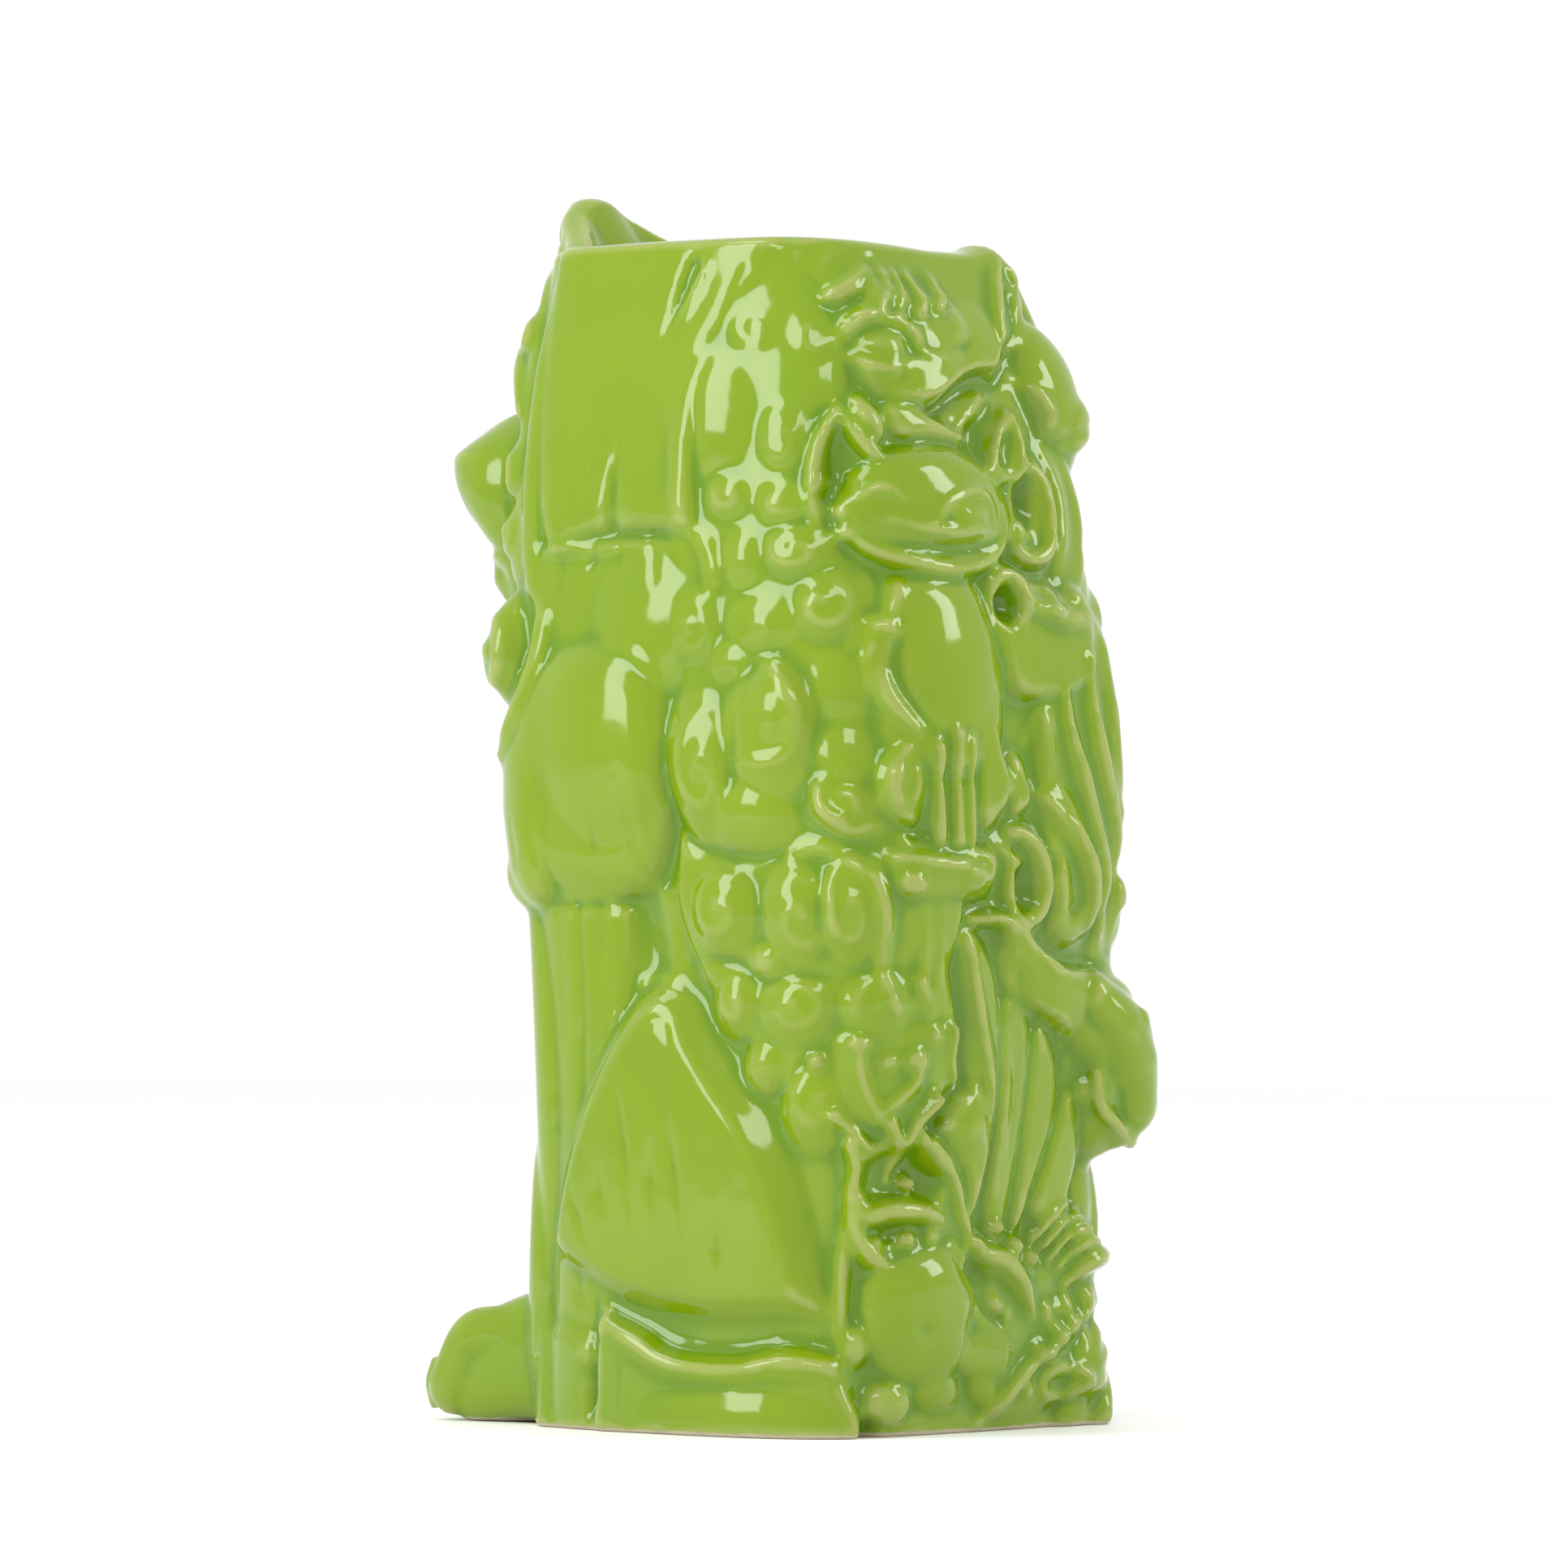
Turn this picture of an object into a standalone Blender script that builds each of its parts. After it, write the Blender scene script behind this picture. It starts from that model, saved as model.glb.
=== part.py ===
"""Seated guardian lion vessel, an open ceramic column that stands on its foot.

The lion faces -Y and its left side is +X. The face, the legs and the paws are at the front and the sides,
the mane runs down the two rear corners, and a crowd of small creatures covers the back.
Every sculpted element is modelled flat, on a sheet, and then bent round the vessel's wall.
A place on the sheet is (around, up): around is the way along the wall from the middle of the front,
growing towards the lion's left, and up is the height. The third sheet coordinate is the way out of the wall.
"""

import math

import bmesh
import bpy
from mathutils import Matrix, Vector

MM = 0.001

# Overall sizes of the vessel.
BODY_HEIGHT = 182 * MM
BODY_HALF_WIDTH = 32.5 * MM
FRONT_DEPTH = 25 * MM
BACK_DEPTH = 39 * MM
SQUARENESS = 4.5

# Wall, floor and foot.
WALL = 4.2 * MM
FLOOR = 6 * MM
FOOT_RECESS = 1.6 * MM
FOOT_WIDTH = 7 * MM
EDGE_ROUND = 1 * MM
FLOOR_ROUND = 3 * MM

# The flat sheet that the elements are laid out on, in millimetres.
SHEET_GIRTH = 242
SHEET_HEIGHT = 182

# How far the wall stands beyond the foot at each height of the sheet: (height, sides, front, back).
SWELLS = (
    (0, 0, 0, 0),
    (20, 0, -0.5, 0),
    (50, 0, 0, 2.5),
    (75, 0.3, 2.5, 5.5),
    (95, 0.3, 7, 6.5),
    (120, 0.2, 10, 4.5),
    (145, -0.8, 9, 1),
    (160, -2.2, 8, -1.5),
    (172, -4.3, 6.5, -7),
    (182, -6.4, 4.5, -13),
)

# How far the main elements stand out of the wall.
SEAT_GAP = 0.35 * MM
PANEL_DEPTH = 1.6 * MM
LEG_DEPTH = 2.4 * MM
HAUNCH_DEPTH = 2.6 * MM
FOOT_DEPTH = 2.8 * MM
FOREPAW_REACH = 26 * MM
MUZZLE_REACH = 15.5 * MM
JAW_REACH = 9 * MM
BEARD_REACH = 6 * MM
CREST_LEAN = 6 * MM
SNOUT_REACH = 10 * MM
RELIEF = 3 * MM

# Fineness of the mesh.
AROUND_STEPS = 44
RING_STEP = 11
CUT_AROUND = 4.5
CUT_UP = 9

FORWARD = Vector((0, -1, 0))
BACKWARD = Vector((0, 1, 0))

COLLECTION = "guardian_lion_vessel"
GLAZE = (0.28, 0.46, 0.045, 1)


# The wall -----------------------------------------------------------------------------------------------


def swell(up):
    """The section's half width, front depth and back depth at a height of the sheet, on a smooth curve."""
    up = min(max(up, SWELLS[0][0]), SWELLS[-1][0])
    index = max(i for i, row in enumerate(SWELLS[:-1]) if row[0] <= up)
    low, high = SWELLS[index], SWELLS[index + 1]
    before = SWELLS[max(index - 1, 0)]
    after = SWELLS[min(index + 2, len(SWELLS) - 1)]
    span = high[0] - low[0]
    share = (up - low[0]) / span
    sizes = []
    for column in (1, 2, 3):
        slope_low = (high[column] - before[column]) / (high[0] - before[0]) * span
        slope_high = (after[column] - low[column]) / (after[0] - low[0]) * span
        sizes.append(
            (2 * share**3 - 3 * share**2 + 1) * low[column]
            + (share**3 - 2 * share**2 + share) * slope_low
            + (3 * share**2 - 2 * share**3) * high[column]
            + (share**3 - share**2) * slope_high
        )
    side, front, back = sizes
    return BODY_HALF_WIDTH + side * MM, FRONT_DEPTH + front * MM, BACK_DEPTH + back * MM


def section_point(angle, half_width, half_depth):
    """A point of the rounded square section; angle 0 is the middle of the front."""
    right, back = math.sin(angle), -math.cos(angle)
    reach = abs(right / half_width) ** SQUARENESS + abs(back / half_depth) ** SQUARENESS
    return Vector((right, back)) * reach ** (-1 / SQUARENESS)


def angle_table(half_width, half_depth, count=1440):
    """Angle against the share of the girth, for the section at the foot of the column."""
    points = [section_point(math.tau * i / count, half_width, half_depth) for i in range(count + 1)]
    length = [0]
    for start, end in zip(points, points[1:]):
        length.append(length[-1] + (end - start).length)
    return [run / length[-1] for run in length]


GIRTH_SHARES = angle_table(BODY_HALF_WIDTH, (FRONT_DEPTH + BACK_DEPTH) / 2 + 4 * MM)


def angle_at(around):
    """The section's angle at a place on the sheet, found in the table of girth shares."""
    share = (around / SHEET_GIRTH) % 1
    low, high = 0, len(GIRTH_SHARES) - 1
    while high - low > 1:
        middle = (low + high) // 2
        if GIRTH_SHARES[middle] <= share:
            low = middle
        else:
            high = middle
    part = (share - GIRTH_SHARES[low]) / (GIRTH_SHARES[high] - GIRTH_SHARES[low])
    return math.tau * (low + part) / (len(GIRTH_SHARES) - 1)


def wall_point(around, up, out=0, facing=None):
    """The point in space of a place on the sheet, out metres beyond the wall, square to it or along facing."""
    half_width, front, back = swell(up)
    half_depth = (front + back) / 2
    flat = section_point(angle_at(around), half_width, half_depth)
    normal = Vector(
        (
            math.copysign(abs(flat.x / half_width) ** (SQUARENESS - 1), flat.x) / half_width,
            math.copysign(abs(flat.y / half_depth) ** (SQUARENESS - 1), flat.y) / half_depth,
            0,
        )
    ).normalized()
    height = up / SHEET_HEIGHT * BODY_HEIGHT
    point = Vector((flat.x, flat.y + (back - front) / 2, height))
    if facing is None:
        return point + normal * out
    return point + normal * SEAT_GAP + facing * (out - SEAT_GAP)


# Building blocks ----------------------------------------------------------------------------------------


def start_scene():
    for thing in list(bpy.data.objects):
        bpy.data.objects.remove(thing, do_unlink=True)
    collection = bpy.data.collections.new(COLLECTION)
    bpy.context.scene.collection.children.link(collection)
    return collection


PARTS = start_scene()


def glaze(name):
    """Clear green glaze over a white body."""
    material = bpy.data.materials.new(name + "_glaze")
    material.use_nodes = True
    shader = material.node_tree.nodes["Principled BSDF"]
    shader.inputs["Base Color"].default_value = GLAZE
    shader.inputs["Roughness"].default_value = 0.1
    shader.inputs["Metallic"].default_value = 0
    return material


def add_part(name, mesh):
    """A finished mesh as a named, glazed object in the collection."""
    mesh.materials.clear()
    mesh.materials.append(glaze(name))
    mesh.shade_smooth()
    mesh.set_sharp_from_angle(angle=math.radians(40))
    part = bpy.data.objects.new(name, mesh)
    PARTS.objects.link(part)
    return part


def mesh_of_curve(curve):
    """The closed mesh of a curve, with its caps welded to its sides."""
    holder = bpy.data.objects.new("outline", curve)
    PARTS.objects.link(holder)
    graph = bpy.context.evaluated_depsgraph_get()
    mesh = bpy.data.meshes.new_from_object(holder.evaluated_get(graph))
    bpy.data.objects.remove(holder, do_unlink=True)
    shape = bmesh.new()
    shape.from_mesh(mesh)
    bpy.data.meshes.remove(mesh)
    bmesh.ops.remove_doubles(shape, verts=shape.verts, dist=0.02 * MM)
    flat_edges = [edge for edge in shape.edges if edge.is_manifold and edge.calc_face_angle() < 0.01]
    bmesh.ops.dissolve_edges(shape, edges=flat_edges, use_verts=False)
    return shape


def slice_by_planes(shape, axis, step):
    """Cuts that let a flat mesh bend: one at each step along a sheet axis."""
    places = [vert.co[axis] for vert in shape.verts]
    normal = Vector((0, 0, 0))
    normal[axis] = 1
    first = math.floor(min(places) / step) + 1
    last = math.ceil(max(places) / step) - 1
    for index in range(first, last + 1):
        geometry = list(shape.verts) + list(shape.edges) + list(shape.faces)
        point = normal * (index * step)
        bmesh.ops.bisect_plane(shape, geom=geometry, dist=0.06 * MM, plane_co=point, plane_no=normal)


def lay_on_wall(name, shape, crown=0, lean=0, facing=None, mirrored=False):
    """Cuts a flat shape into strips, swells its face by crown, tips it out by lean and bends it to the wall."""
    slice_by_planes(shape, 0, CUT_AROUND * MM)
    slice_by_planes(shape, 1, CUT_UP * MM)
    low = [min(vert.co[axis] for vert in shape.verts) for axis in range(3)]
    high = [max(vert.co[axis] for vert in shape.verts) for axis in range(3)]
    middle_out = (low[2] + high[2]) / 2
    for vert in shape.verts:
        around, up, out = vert.co
        share_around = (2 * around - low[0] - high[0]) / (high[0] - low[0])
        share_up = (2 * up - low[1] - high[1]) / (high[1] - low[1])
        if out > middle_out:
            out += crown * max(0, 1 - share_around**2) * max(0, 1 - share_up**2)
        out += lean * (share_up + 1) / 2
        side = -1 if mirrored else 1
        vert.co = wall_point(side * around / MM, up / MM, out, facing)
    if mirrored:
        bmesh.ops.reverse_faces(shape, faces=shape.faces)
    bmesh.ops.triangulate(shape, faces=[face for face in shape.faces if len(face.verts) > 4])
    mesh = bpy.data.meshes.new(name)
    shape.to_mesh(mesh)
    shape.free()
    return add_part(name, mesh)


def slab(outline, depth, rounding=0.8, smooth=True):
    """A flat plate on the sheet with a bevelled front rim; the outline is in millimetres, anticlockwise."""
    curve = bpy.data.curves.new("outline", "CURVE")
    curve.dimensions = "2D"
    curve.fill_mode = "BOTH"
    curve.resolution_u = 2 if smooth else 1
    curve.extrude = depth / 2
    spline = curve.splines.new("BEZIER" if smooth else "POLY")
    points = spline.bezier_points if smooth else spline.points
    points.add(len(outline) - 1)
    for point, (around, up) in zip(points, outline):
        if smooth:
            point.co = (around * MM, up * MM, 0)
            point.handle_left_type = "AUTO"
            point.handle_right_type = "AUTO"
        else:
            point.co = (around * MM, up * MM, 0, 1)
    spline.use_cyclic_u = True
    shape = mesh_of_curve(curve)
    rim = [edge for edge in shape.edges if all(vert.co.z > 0 for vert in edge.verts)]
    bmesh.ops.bevel(shape, geom=rim, offset=rounding * MM, segments=1, affect="EDGES")
    bmesh.ops.translate(shape, verts=shape.verts, vec=(0, 0, SEAT_GAP + depth / 2))
    return shape


def flatten_back(shape):
    """Trims a shape at the wall and closes the cut."""
    geometry = list(shape.verts) + list(shape.edges) + list(shape.faces)
    seat = Vector((0, 0, SEAT_GAP))
    cut = bmesh.ops.bisect_plane(
        shape, geom=geometry, dist=0.02 * MM, plane_co=seat, plane_no=(0, 0, 1), clear_inner=True
    )
    edges = [item for item in cut["geom_cut"] if isinstance(item, bmesh.types.BMEdge)]
    bmesh.ops.edgeloop_fill(shape, edges=edges)
    bmesh.ops.recalc_face_normals(shape, faces=shape.faces)
    return shape


def mound(around, up, half_width, half_height, depth, tilt=0, segments=12):
    """A dome with an oval foot, in millimetres apart from its depth."""
    shape = bmesh.new()
    bmesh.ops.create_uvsphere(shape, u_segments=segments, v_segments=6, radius=1)
    scale = Matrix.Diagonal((half_width * MM, half_height * MM, depth, 1))
    turn = Matrix.Rotation(math.radians(tilt), 4, "Z")
    place = Matrix.Translation((around * MM, up * MM, SEAT_GAP))
    bmesh.ops.transform(shape, matrix=place @ turn @ scale, verts=shape.verts)
    return flatten_back(shape)


def strand(points, radius, tip=1, sides=2):
    """A half-round cord through the points, which may narrow to its tip; all in millimetres."""
    curve = bpy.data.curves.new("strand", "CURVE")
    curve.dimensions = "3D"
    curve.bevel_depth = radius * MM
    curve.bevel_resolution = sides - 1
    curve.use_fill_caps = True
    curve.resolution_u = 2
    spline = curve.splines.new("BEZIER")
    spline.bezier_points.add(len(points) - 1)
    for index, (around, up) in enumerate(points):
        point = spline.bezier_points[index]
        point.co = (around * MM, up * MM, SEAT_GAP + 0.15 * radius * MM)
        point.handle_left_type = "AUTO"
        point.handle_right_type = "AUTO"
        point.radius = 1 + (tip - 1) * index / (len(points) - 1)
    return flatten_back(mesh_of_curve(curve))


def both_sides(name, make, **how):
    """The same element on the lion's left and right."""
    for side, mirrored in (("left", False), ("right", True)):
        lay_on_wall(f"{name}_{side}", make(), mirrored=mirrored, **how)


# Vessel -------------------------------------------------------------------------------------------------


def make_vessel():
    """The hollow column: one loft from under the floor, up the outside, over the rim and down the inside."""
    scale = SHEET_HEIGHT / BODY_HEIGHT
    profile = [(-FOOT_WIDTH, FOOT_RECESS * scale), (-FOOT_WIDTH, 0), (-EDGE_ROUND, 0), (0, EDGE_ROUND * scale)]
    profile += [(0, up) for up in range(RING_STEP, SHEET_HEIGHT - 2, RING_STEP)]
    rim, shoulder = SHEET_HEIGHT, SHEET_HEIGHT - EDGE_ROUND * scale
    profile += [(0, shoulder), (-EDGE_ROUND, rim), (EDGE_ROUND - WALL, rim), (-WALL, shoulder)]
    profile += [(-WALL, row[0]) for row in reversed(SWELLS[1:-1:2])]
    profile += [(-WALL, (FLOOR + FLOOR_ROUND) * scale), (-WALL - FLOOR_ROUND, FLOOR * scale)]
    shape = bmesh.new()
    rings = []
    for out, up in profile:
        places = [SHEET_GIRTH * step / AROUND_STEPS for step in range(AROUND_STEPS)]
        rings.append([shape.verts.new(wall_point(around, up, out)) for around in places])
    for lower, upper in zip(rings, rings[1:]):
        for step in range(AROUND_STEPS):
            ahead = (step + 1) % AROUND_STEPS
            shape.faces.new((lower[step], lower[ahead], upper[ahead], upper[step]))
    shape.faces.new(reversed(rings[0]))
    shape.faces.new(rings[-1])
    mesh = bpy.data.meshes.new("vessel")
    shape.to_mesh(mesh)
    shape.free()
    add_part("vessel", mesh)


# Head ---------------------------------------------------------------------------------------------------


def make_head():
    panel = ((38.5, 136.5), (69.5, 136.5), (70, 157), (69, 178), (42, 178), (38, 160))
    both_sides("head_side_panel", lambda: slab(panel, PANEL_DEPTH, 0.5, smooth=False))
    cheek = ((30, 133), (34.5, 133), (36.3, 150), (37, 172), (33, 172), (30.5, 152))
    both_sides("cheek_ridge", lambda: slab(cheek, PANEL_DEPTH + 1 * MM, 0.8, smooth=False))
    both_sides("brow", lambda: strand(((4, 168), (12, 172), (21, 171), (28, 165)), 3.2), crown=0)
    both_sides("eye", lambda: mound(16, 162, 7, 5.2, 4.5 * MM))
    crest = ((-17, 175.5), (17, 175.5), (17.5, 182), (9, 185.5), (0, 190), (-9, 185.5), (-17.5, 182))
    lay_on_wall("crest", slab(crest, 4 * MM, 1, smooth=False), lean=CREST_LEAN, facing=FORWARD)


def make_muzzle():
    nose = ((-6, 155.6), (6, 155.6), (5, 161), (3, 166), (-3, 166), (-5, 161))
    lay_on_wall("nose_bridge", slab(nose, 9 * MM, 1.2, smooth=False), facing=FORWARD)
    jaw = ((-20.5, 141), (20.5, 141), (21, 149), (19, 155), (-19, 155), (-21, 149))
    lay_on_wall("muzzle", slab(jaw, MUZZLE_REACH, 1.5, smooth=False), crown=1.5 * MM, facing=FORWARD)
    teeth = ((-16, 137.8), (16, 137.8), (16, 140.7), (-16, 140.7))
    lay_on_wall("teeth", slab(teeth, JAW_REACH, 0.5, smooth=False), facing=FORWARD)
    chin = ((-14, 131.5), (14, 131.5), (18, 137.4), (-18, 137.4))
    lay_on_wall("lower_jaw", slab(chin, JAW_REACH, 1, smooth=False), lean=2 * MM, facing=FORWARD)
    beard = ((-6, 117), (0, 115), (6, 117), (11, 123), (12, 130.5), (-12, 130.5), (-11, 123))
    lay_on_wall("beard", slab(beard, BEARD_REACH, 1.2, smooth=False), facing=FORWARD)


# Neck, collar and legs ----------------------------------------------------------------------------------


def make_neck():
    block = ((36, 123), (45, 124), (52, 124.5), (60, 123.5), (68, 121), (69, 134.5), (40, 134.5), (37, 131))
    both_sides("neck_block", lambda: slab(block, PANEL_DEPTH, 0.5, smooth=False))
    lay_on_wall("collar", strand(((-22, 112), (-11, 109), (0, 108), (11, 109), (22, 112)), 2.6))
    lay_on_wall("bell", mound(0, 98.5, 6, 6.4, 6 * MM))


def make_forelegs():
    leg = (
        (18, 23), (32, 23), (31.5, 36), (36, 46), (43, 55), (50, 63), (54.5, 68), (55.5, 80), (60, 88),
        (65, 98), (65, 108), (60, 116), (52, 119.5), (43, 117.5), (36, 110.5), (26, 104), (20, 94), (17, 81),
        (18, 60), (18, 40),
    )
    both_sides("foreleg", lambda: slab(leg, LEG_DEPTH, 1.1, smooth=False), crown=1.6 * MM)
    paw = ((7, 0), (28, 0), (29.5, 8), (28.5, 14.5), (25, 18.5), (12, 18.5), (8, 14.5), (6.5, 8))
    both_sides("forepaw", lambda: slab(paw, FOREPAW_REACH, 1.5, smooth=False), facing=FORWARD)


def make_haunches():
    haunch = (
        (50, 20.5), (62, 18.8), (76, 16), (87.5, 13.8), (89.5, 20), (86, 30), (79, 43), (71, 55.5), (64, 63.5),
        (58, 66), (51, 58.5), (43, 48), (37, 38.5), (35, 32), (37, 26), (42, 22.5),
    )
    both_sides("haunch", lambda: slab(haunch, HAUNCH_DEPTH, 1.1, smooth=False), crown=2.2 * MM)
    foot = ((42, 0), (91.5, 0), (91.5, 10.5), (75, 12.8), (60, 15.8), (47, 18), (43.5, 15), (41.5, 8))
    both_sides("hind_foot", lambda: slab(foot, FOOT_DEPTH, 0.9, smooth=False), crown=1 * MM)


def make_mane():
    """Rows of curls down each rear corner: (around, up, half width, half height)."""
    curls = ((82, 150, 8, 14), (75, 120, 6.5, 7.5), (89.5, 124, 6, 7.5), (81, 99, 8, 12), (83, 72, 9, 11))
    for number, (around, up, half_width, half_height) in enumerate(curls, 1):
        both_sides(
            f"mane_curl_{number}",
            lambda: mound(around, up, half_width, half_height, RELIEF),
        )


# Creatures on the back ----------------------------------------------------------------------------------


def make_top_masks():
    tufted = ((98, 158), (105, 155), (114, 155), (124, 157), (130, 164), (128, 172), (114, 175.5), (100, 174), (96.5, 166))
    lay_on_wall("tufted_mask", slab(tufted, RELIEF, 1.2), crown=1.5 * MM)
    ear = ((132.5, 163.5), (138, 164), (141.5, 171), (139.5, 179), (135, 174))
    lay_on_wall("tufted_mask_ear", slab(ear, RELIEF, 0.8))
    lay_on_wall("shoulder_mass", mound(137, 153, 8, 8.5, RELIEF + 1 * MM))
    lay_on_wall("bat_mask", mound(110.5, 138.5, 12.5, 9, RELIEF + 2 * MM, segments=16))
    left = ((95, 137), (97.5, 142), (99, 149), (96, 153.5), (94.5, 146))
    lay_on_wall("bat_mask_left_ear", slab(left, RELIEF, 0.7))
    right = ((124.5, 139), (127, 145), (126.5, 153), (122.5, 148), (122, 145))
    lay_on_wall("bat_mask_right_ear", slab(right, RELIEF, 0.7))


def make_figure():
    torso = ((105, 101), (112, 101), (116, 110), (117, 119), (114, 126.5), (102, 126.5), (99.5, 117), (101, 108))
    lay_on_wall("figure_torso", slab(torso, RELIEF, 1.1), crown=1 * MM)
    lay_on_wall("figure_legs", strand(((108.5, 99.5), (108, 90.5)), 3.2))
    lay_on_wall("offering_plate", mound(108, 84.5, 10, 4.6, RELIEF + 1 * MM, tilt=3, segments=14))
    lay_on_wall("finger", strand(((134, 143), (135, 138), (131.5, 133)), 2.4, tip=0.8))
    cup = ((125, 112), (134, 112), (137, 121), (137, 129), (123, 129), (122.5, 121))
    lay_on_wall("cup", slab(cup, RELIEF, 1), crown=1 * MM)
    lay_on_wall("strand_bundle", strand(((142, 118), (140, 108), (141.5, 98), (138, 86)), 2.6))
    lay_on_wall("loop", mound(125, 86, 4.2, 7.5, RELIEF))


def make_beast():
    head = ((116, 70), (122, 64), (131, 60), (138, 59.5), (145, 62), (146, 69), (140, 74), (130, 77), (119, 76))
    lay_on_wall("beast_head", slab(head, RELIEF + 1 * MM, 1.3), crown=1.5 * MM)
    snout = ((134, 55), (137, 48), (142, 42.5), (148, 42), (151, 47), (150, 53), (147, 57.5), (139, 57))
    lay_on_wall("beast_snout", slab(snout, SNOUT_REACH, 1.6), facing=BACKWARD)
    leaf = ((119, 34), (123.5, 46), (120, 58), (112, 72), (110, 58), (114, 46))
    lay_on_wall("long_leaf", slab(leaf, RELIEF - 0.5 * MM, 0.8))


def make_grotto():
    lay_on_wall("coral_branch", strand(((96, 47), (95.5, 51), (99, 57)), 1.7, tip=0.8))
    arch = ((92.5, 27), (92.5, 37), (97, 43.5), (104, 45), (110.5, 41), (113, 33), (113.5, 26))
    lay_on_wall("grotto_arch", strand(arch, 2.2))
    lay_on_wall("grotto_bar", strand(((97, 33), (108, 34.5)), 1.9))
    lay_on_wall("grotto_dome", mound(106, 17, 12.5, 8, RELIEF + 2 * MM, segments=16))
    lay_on_wall("curved_horn", strand(((118.5, 27), (125, 24.5), (130, 17), (134, 9)), 2.3, tip=0.5))
    feathers = ((133, 23), (147, 20.5), (150, 29), (137, 34))
    lay_on_wall("feathers", slab(feathers, RELIEF, 1))
    fan = ((139.5, 7), (146, 4), (149, 10), (148, 17), (140, 17))
    lay_on_wall("fan", slab(fan, RELIEF, 0.9))


# Assembly -----------------------------------------------------------------------------------------------


def stand_over_origin():
    """Moves the whole model so that the origin is under the middle of its box."""
    corners = [vert.co for part in PARTS.objects for vert in part.data.vertices]
    middle = Vector([(min(c[axis] for c in corners) + max(c[axis] for c in corners)) / 2 for axis in range(2)])
    for part in PARTS.objects:
        part.data.transform(Matrix.Translation((-middle.x, -middle.y, 0)))


make_vessel()
make_head()
make_muzzle()
make_neck()
make_forelegs()
make_haunches()
make_mane()
make_top_masks()
make_figure()
make_beast()
make_grotto()
stand_over_origin()
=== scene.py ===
import math

import bpy
import numpy as np
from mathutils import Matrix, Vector
from mathutils.bvhtree import BVHTree


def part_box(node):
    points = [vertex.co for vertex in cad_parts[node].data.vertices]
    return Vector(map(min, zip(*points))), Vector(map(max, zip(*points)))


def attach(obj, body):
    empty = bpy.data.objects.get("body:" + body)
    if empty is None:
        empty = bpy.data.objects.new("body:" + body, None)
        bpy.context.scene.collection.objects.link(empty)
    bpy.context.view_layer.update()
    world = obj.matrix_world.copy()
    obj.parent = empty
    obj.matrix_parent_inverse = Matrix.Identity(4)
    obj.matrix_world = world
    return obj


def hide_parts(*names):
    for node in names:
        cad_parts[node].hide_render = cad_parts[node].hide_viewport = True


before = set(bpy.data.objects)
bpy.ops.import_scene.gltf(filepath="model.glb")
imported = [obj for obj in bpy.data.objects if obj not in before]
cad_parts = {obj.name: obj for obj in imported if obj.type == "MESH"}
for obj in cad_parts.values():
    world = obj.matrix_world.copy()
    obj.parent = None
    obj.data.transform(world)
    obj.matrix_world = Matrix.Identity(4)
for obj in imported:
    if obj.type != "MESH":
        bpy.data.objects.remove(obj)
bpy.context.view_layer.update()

# --- The wall ---
# The vessel is a slip-cast ceramic column, nearly square in plan, that leans in towards its rim. A
# sheet of clay is laid round its measured wall: around and up are counted in millimetres from the
# middle of the front, and out is how far the clay stands proud of the wall.
MM = 0.001
GIRTH = 242
SHEET_HEIGHT = 182
SHEET_STEP = 0.4
SQUARENESS = 4.5
PLAN_HALF_WIDTH = 32.5
PLAN_HALF_DEPTH = 36
PLAN_STEPS = 1440
FAR_OUT = 200
WALL_SOFTNESS = 5
FOOT_EDGE = 3
RIM_EDGE = 2.5

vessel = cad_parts["vessel"].data
vessel_tree = BVHTree.FromPolygons(
    [v.co[:] for v in vessel.vertices], [p.vertices[:] for p in vessel.polygons]
)


def wall_reach(direction, up):
    """How far the outside of the wall lies from the upright axis at a height, in millimetres."""
    start = Vector((*[-FAR_OUT * part for part in direction], up)) * MM
    if direction[0]:
        start.y = sum(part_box("vessel")[corner].y for corner in (0, 1)) / 2
    hit = vessel_tree.ray_cast(start, Vector((*direction, 0)))[0]
    return (hit.x if direction[0] else hit.y) / MM


def softened(values, softness):
    """The values, one a millimetre, with their corners worn away over the softness."""
    reach = np.arange(-3 * softness, 3 * softness + 1)
    weights = np.exp(-((reach / softness) ** 2) / 2)
    ends = np.pad(values, 3 * softness, mode="reflect", reflect_type="odd")
    return np.convolve(ends, weights / weights.sum(), mode="valid")


heights = np.arange(0, SHEET_HEIGHT + 1)
inside_edge = np.clip(heights, FOOT_EDGE, SHEET_HEIGHT - RIM_EDGE)
wall_half, wall_front, wall_back = (
    softened(np.array([wall_reach(direction, up) for up in inside_edge]), WALL_SOFTNESS)
    for direction in ((-1, 0), (0, 1), (0, -1))
)


def plan_curve(turn, half, deep):
    """The rounded square that the column has in plan, at a turn from the front."""
    x, y = np.sin(turn), -np.cos(turn)
    size = (np.abs(x / half) ** SQUARENESS + np.abs(y / deep) ** SQUARENESS) ** (-1 / SQUARENESS)
    return x * size, y * size


turns = np.linspace(0, 2 * math.pi, PLAN_STEPS + 1)
plan_x, plan_y = plan_curve(turns, PLAN_HALF_WIDTH, PLAN_HALF_DEPTH)
girth_shares = np.concatenate([[0], np.cumsum(np.hypot(np.diff(plan_x), np.diff(plan_y)))])
girth_shares /= girth_shares[-1]


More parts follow.
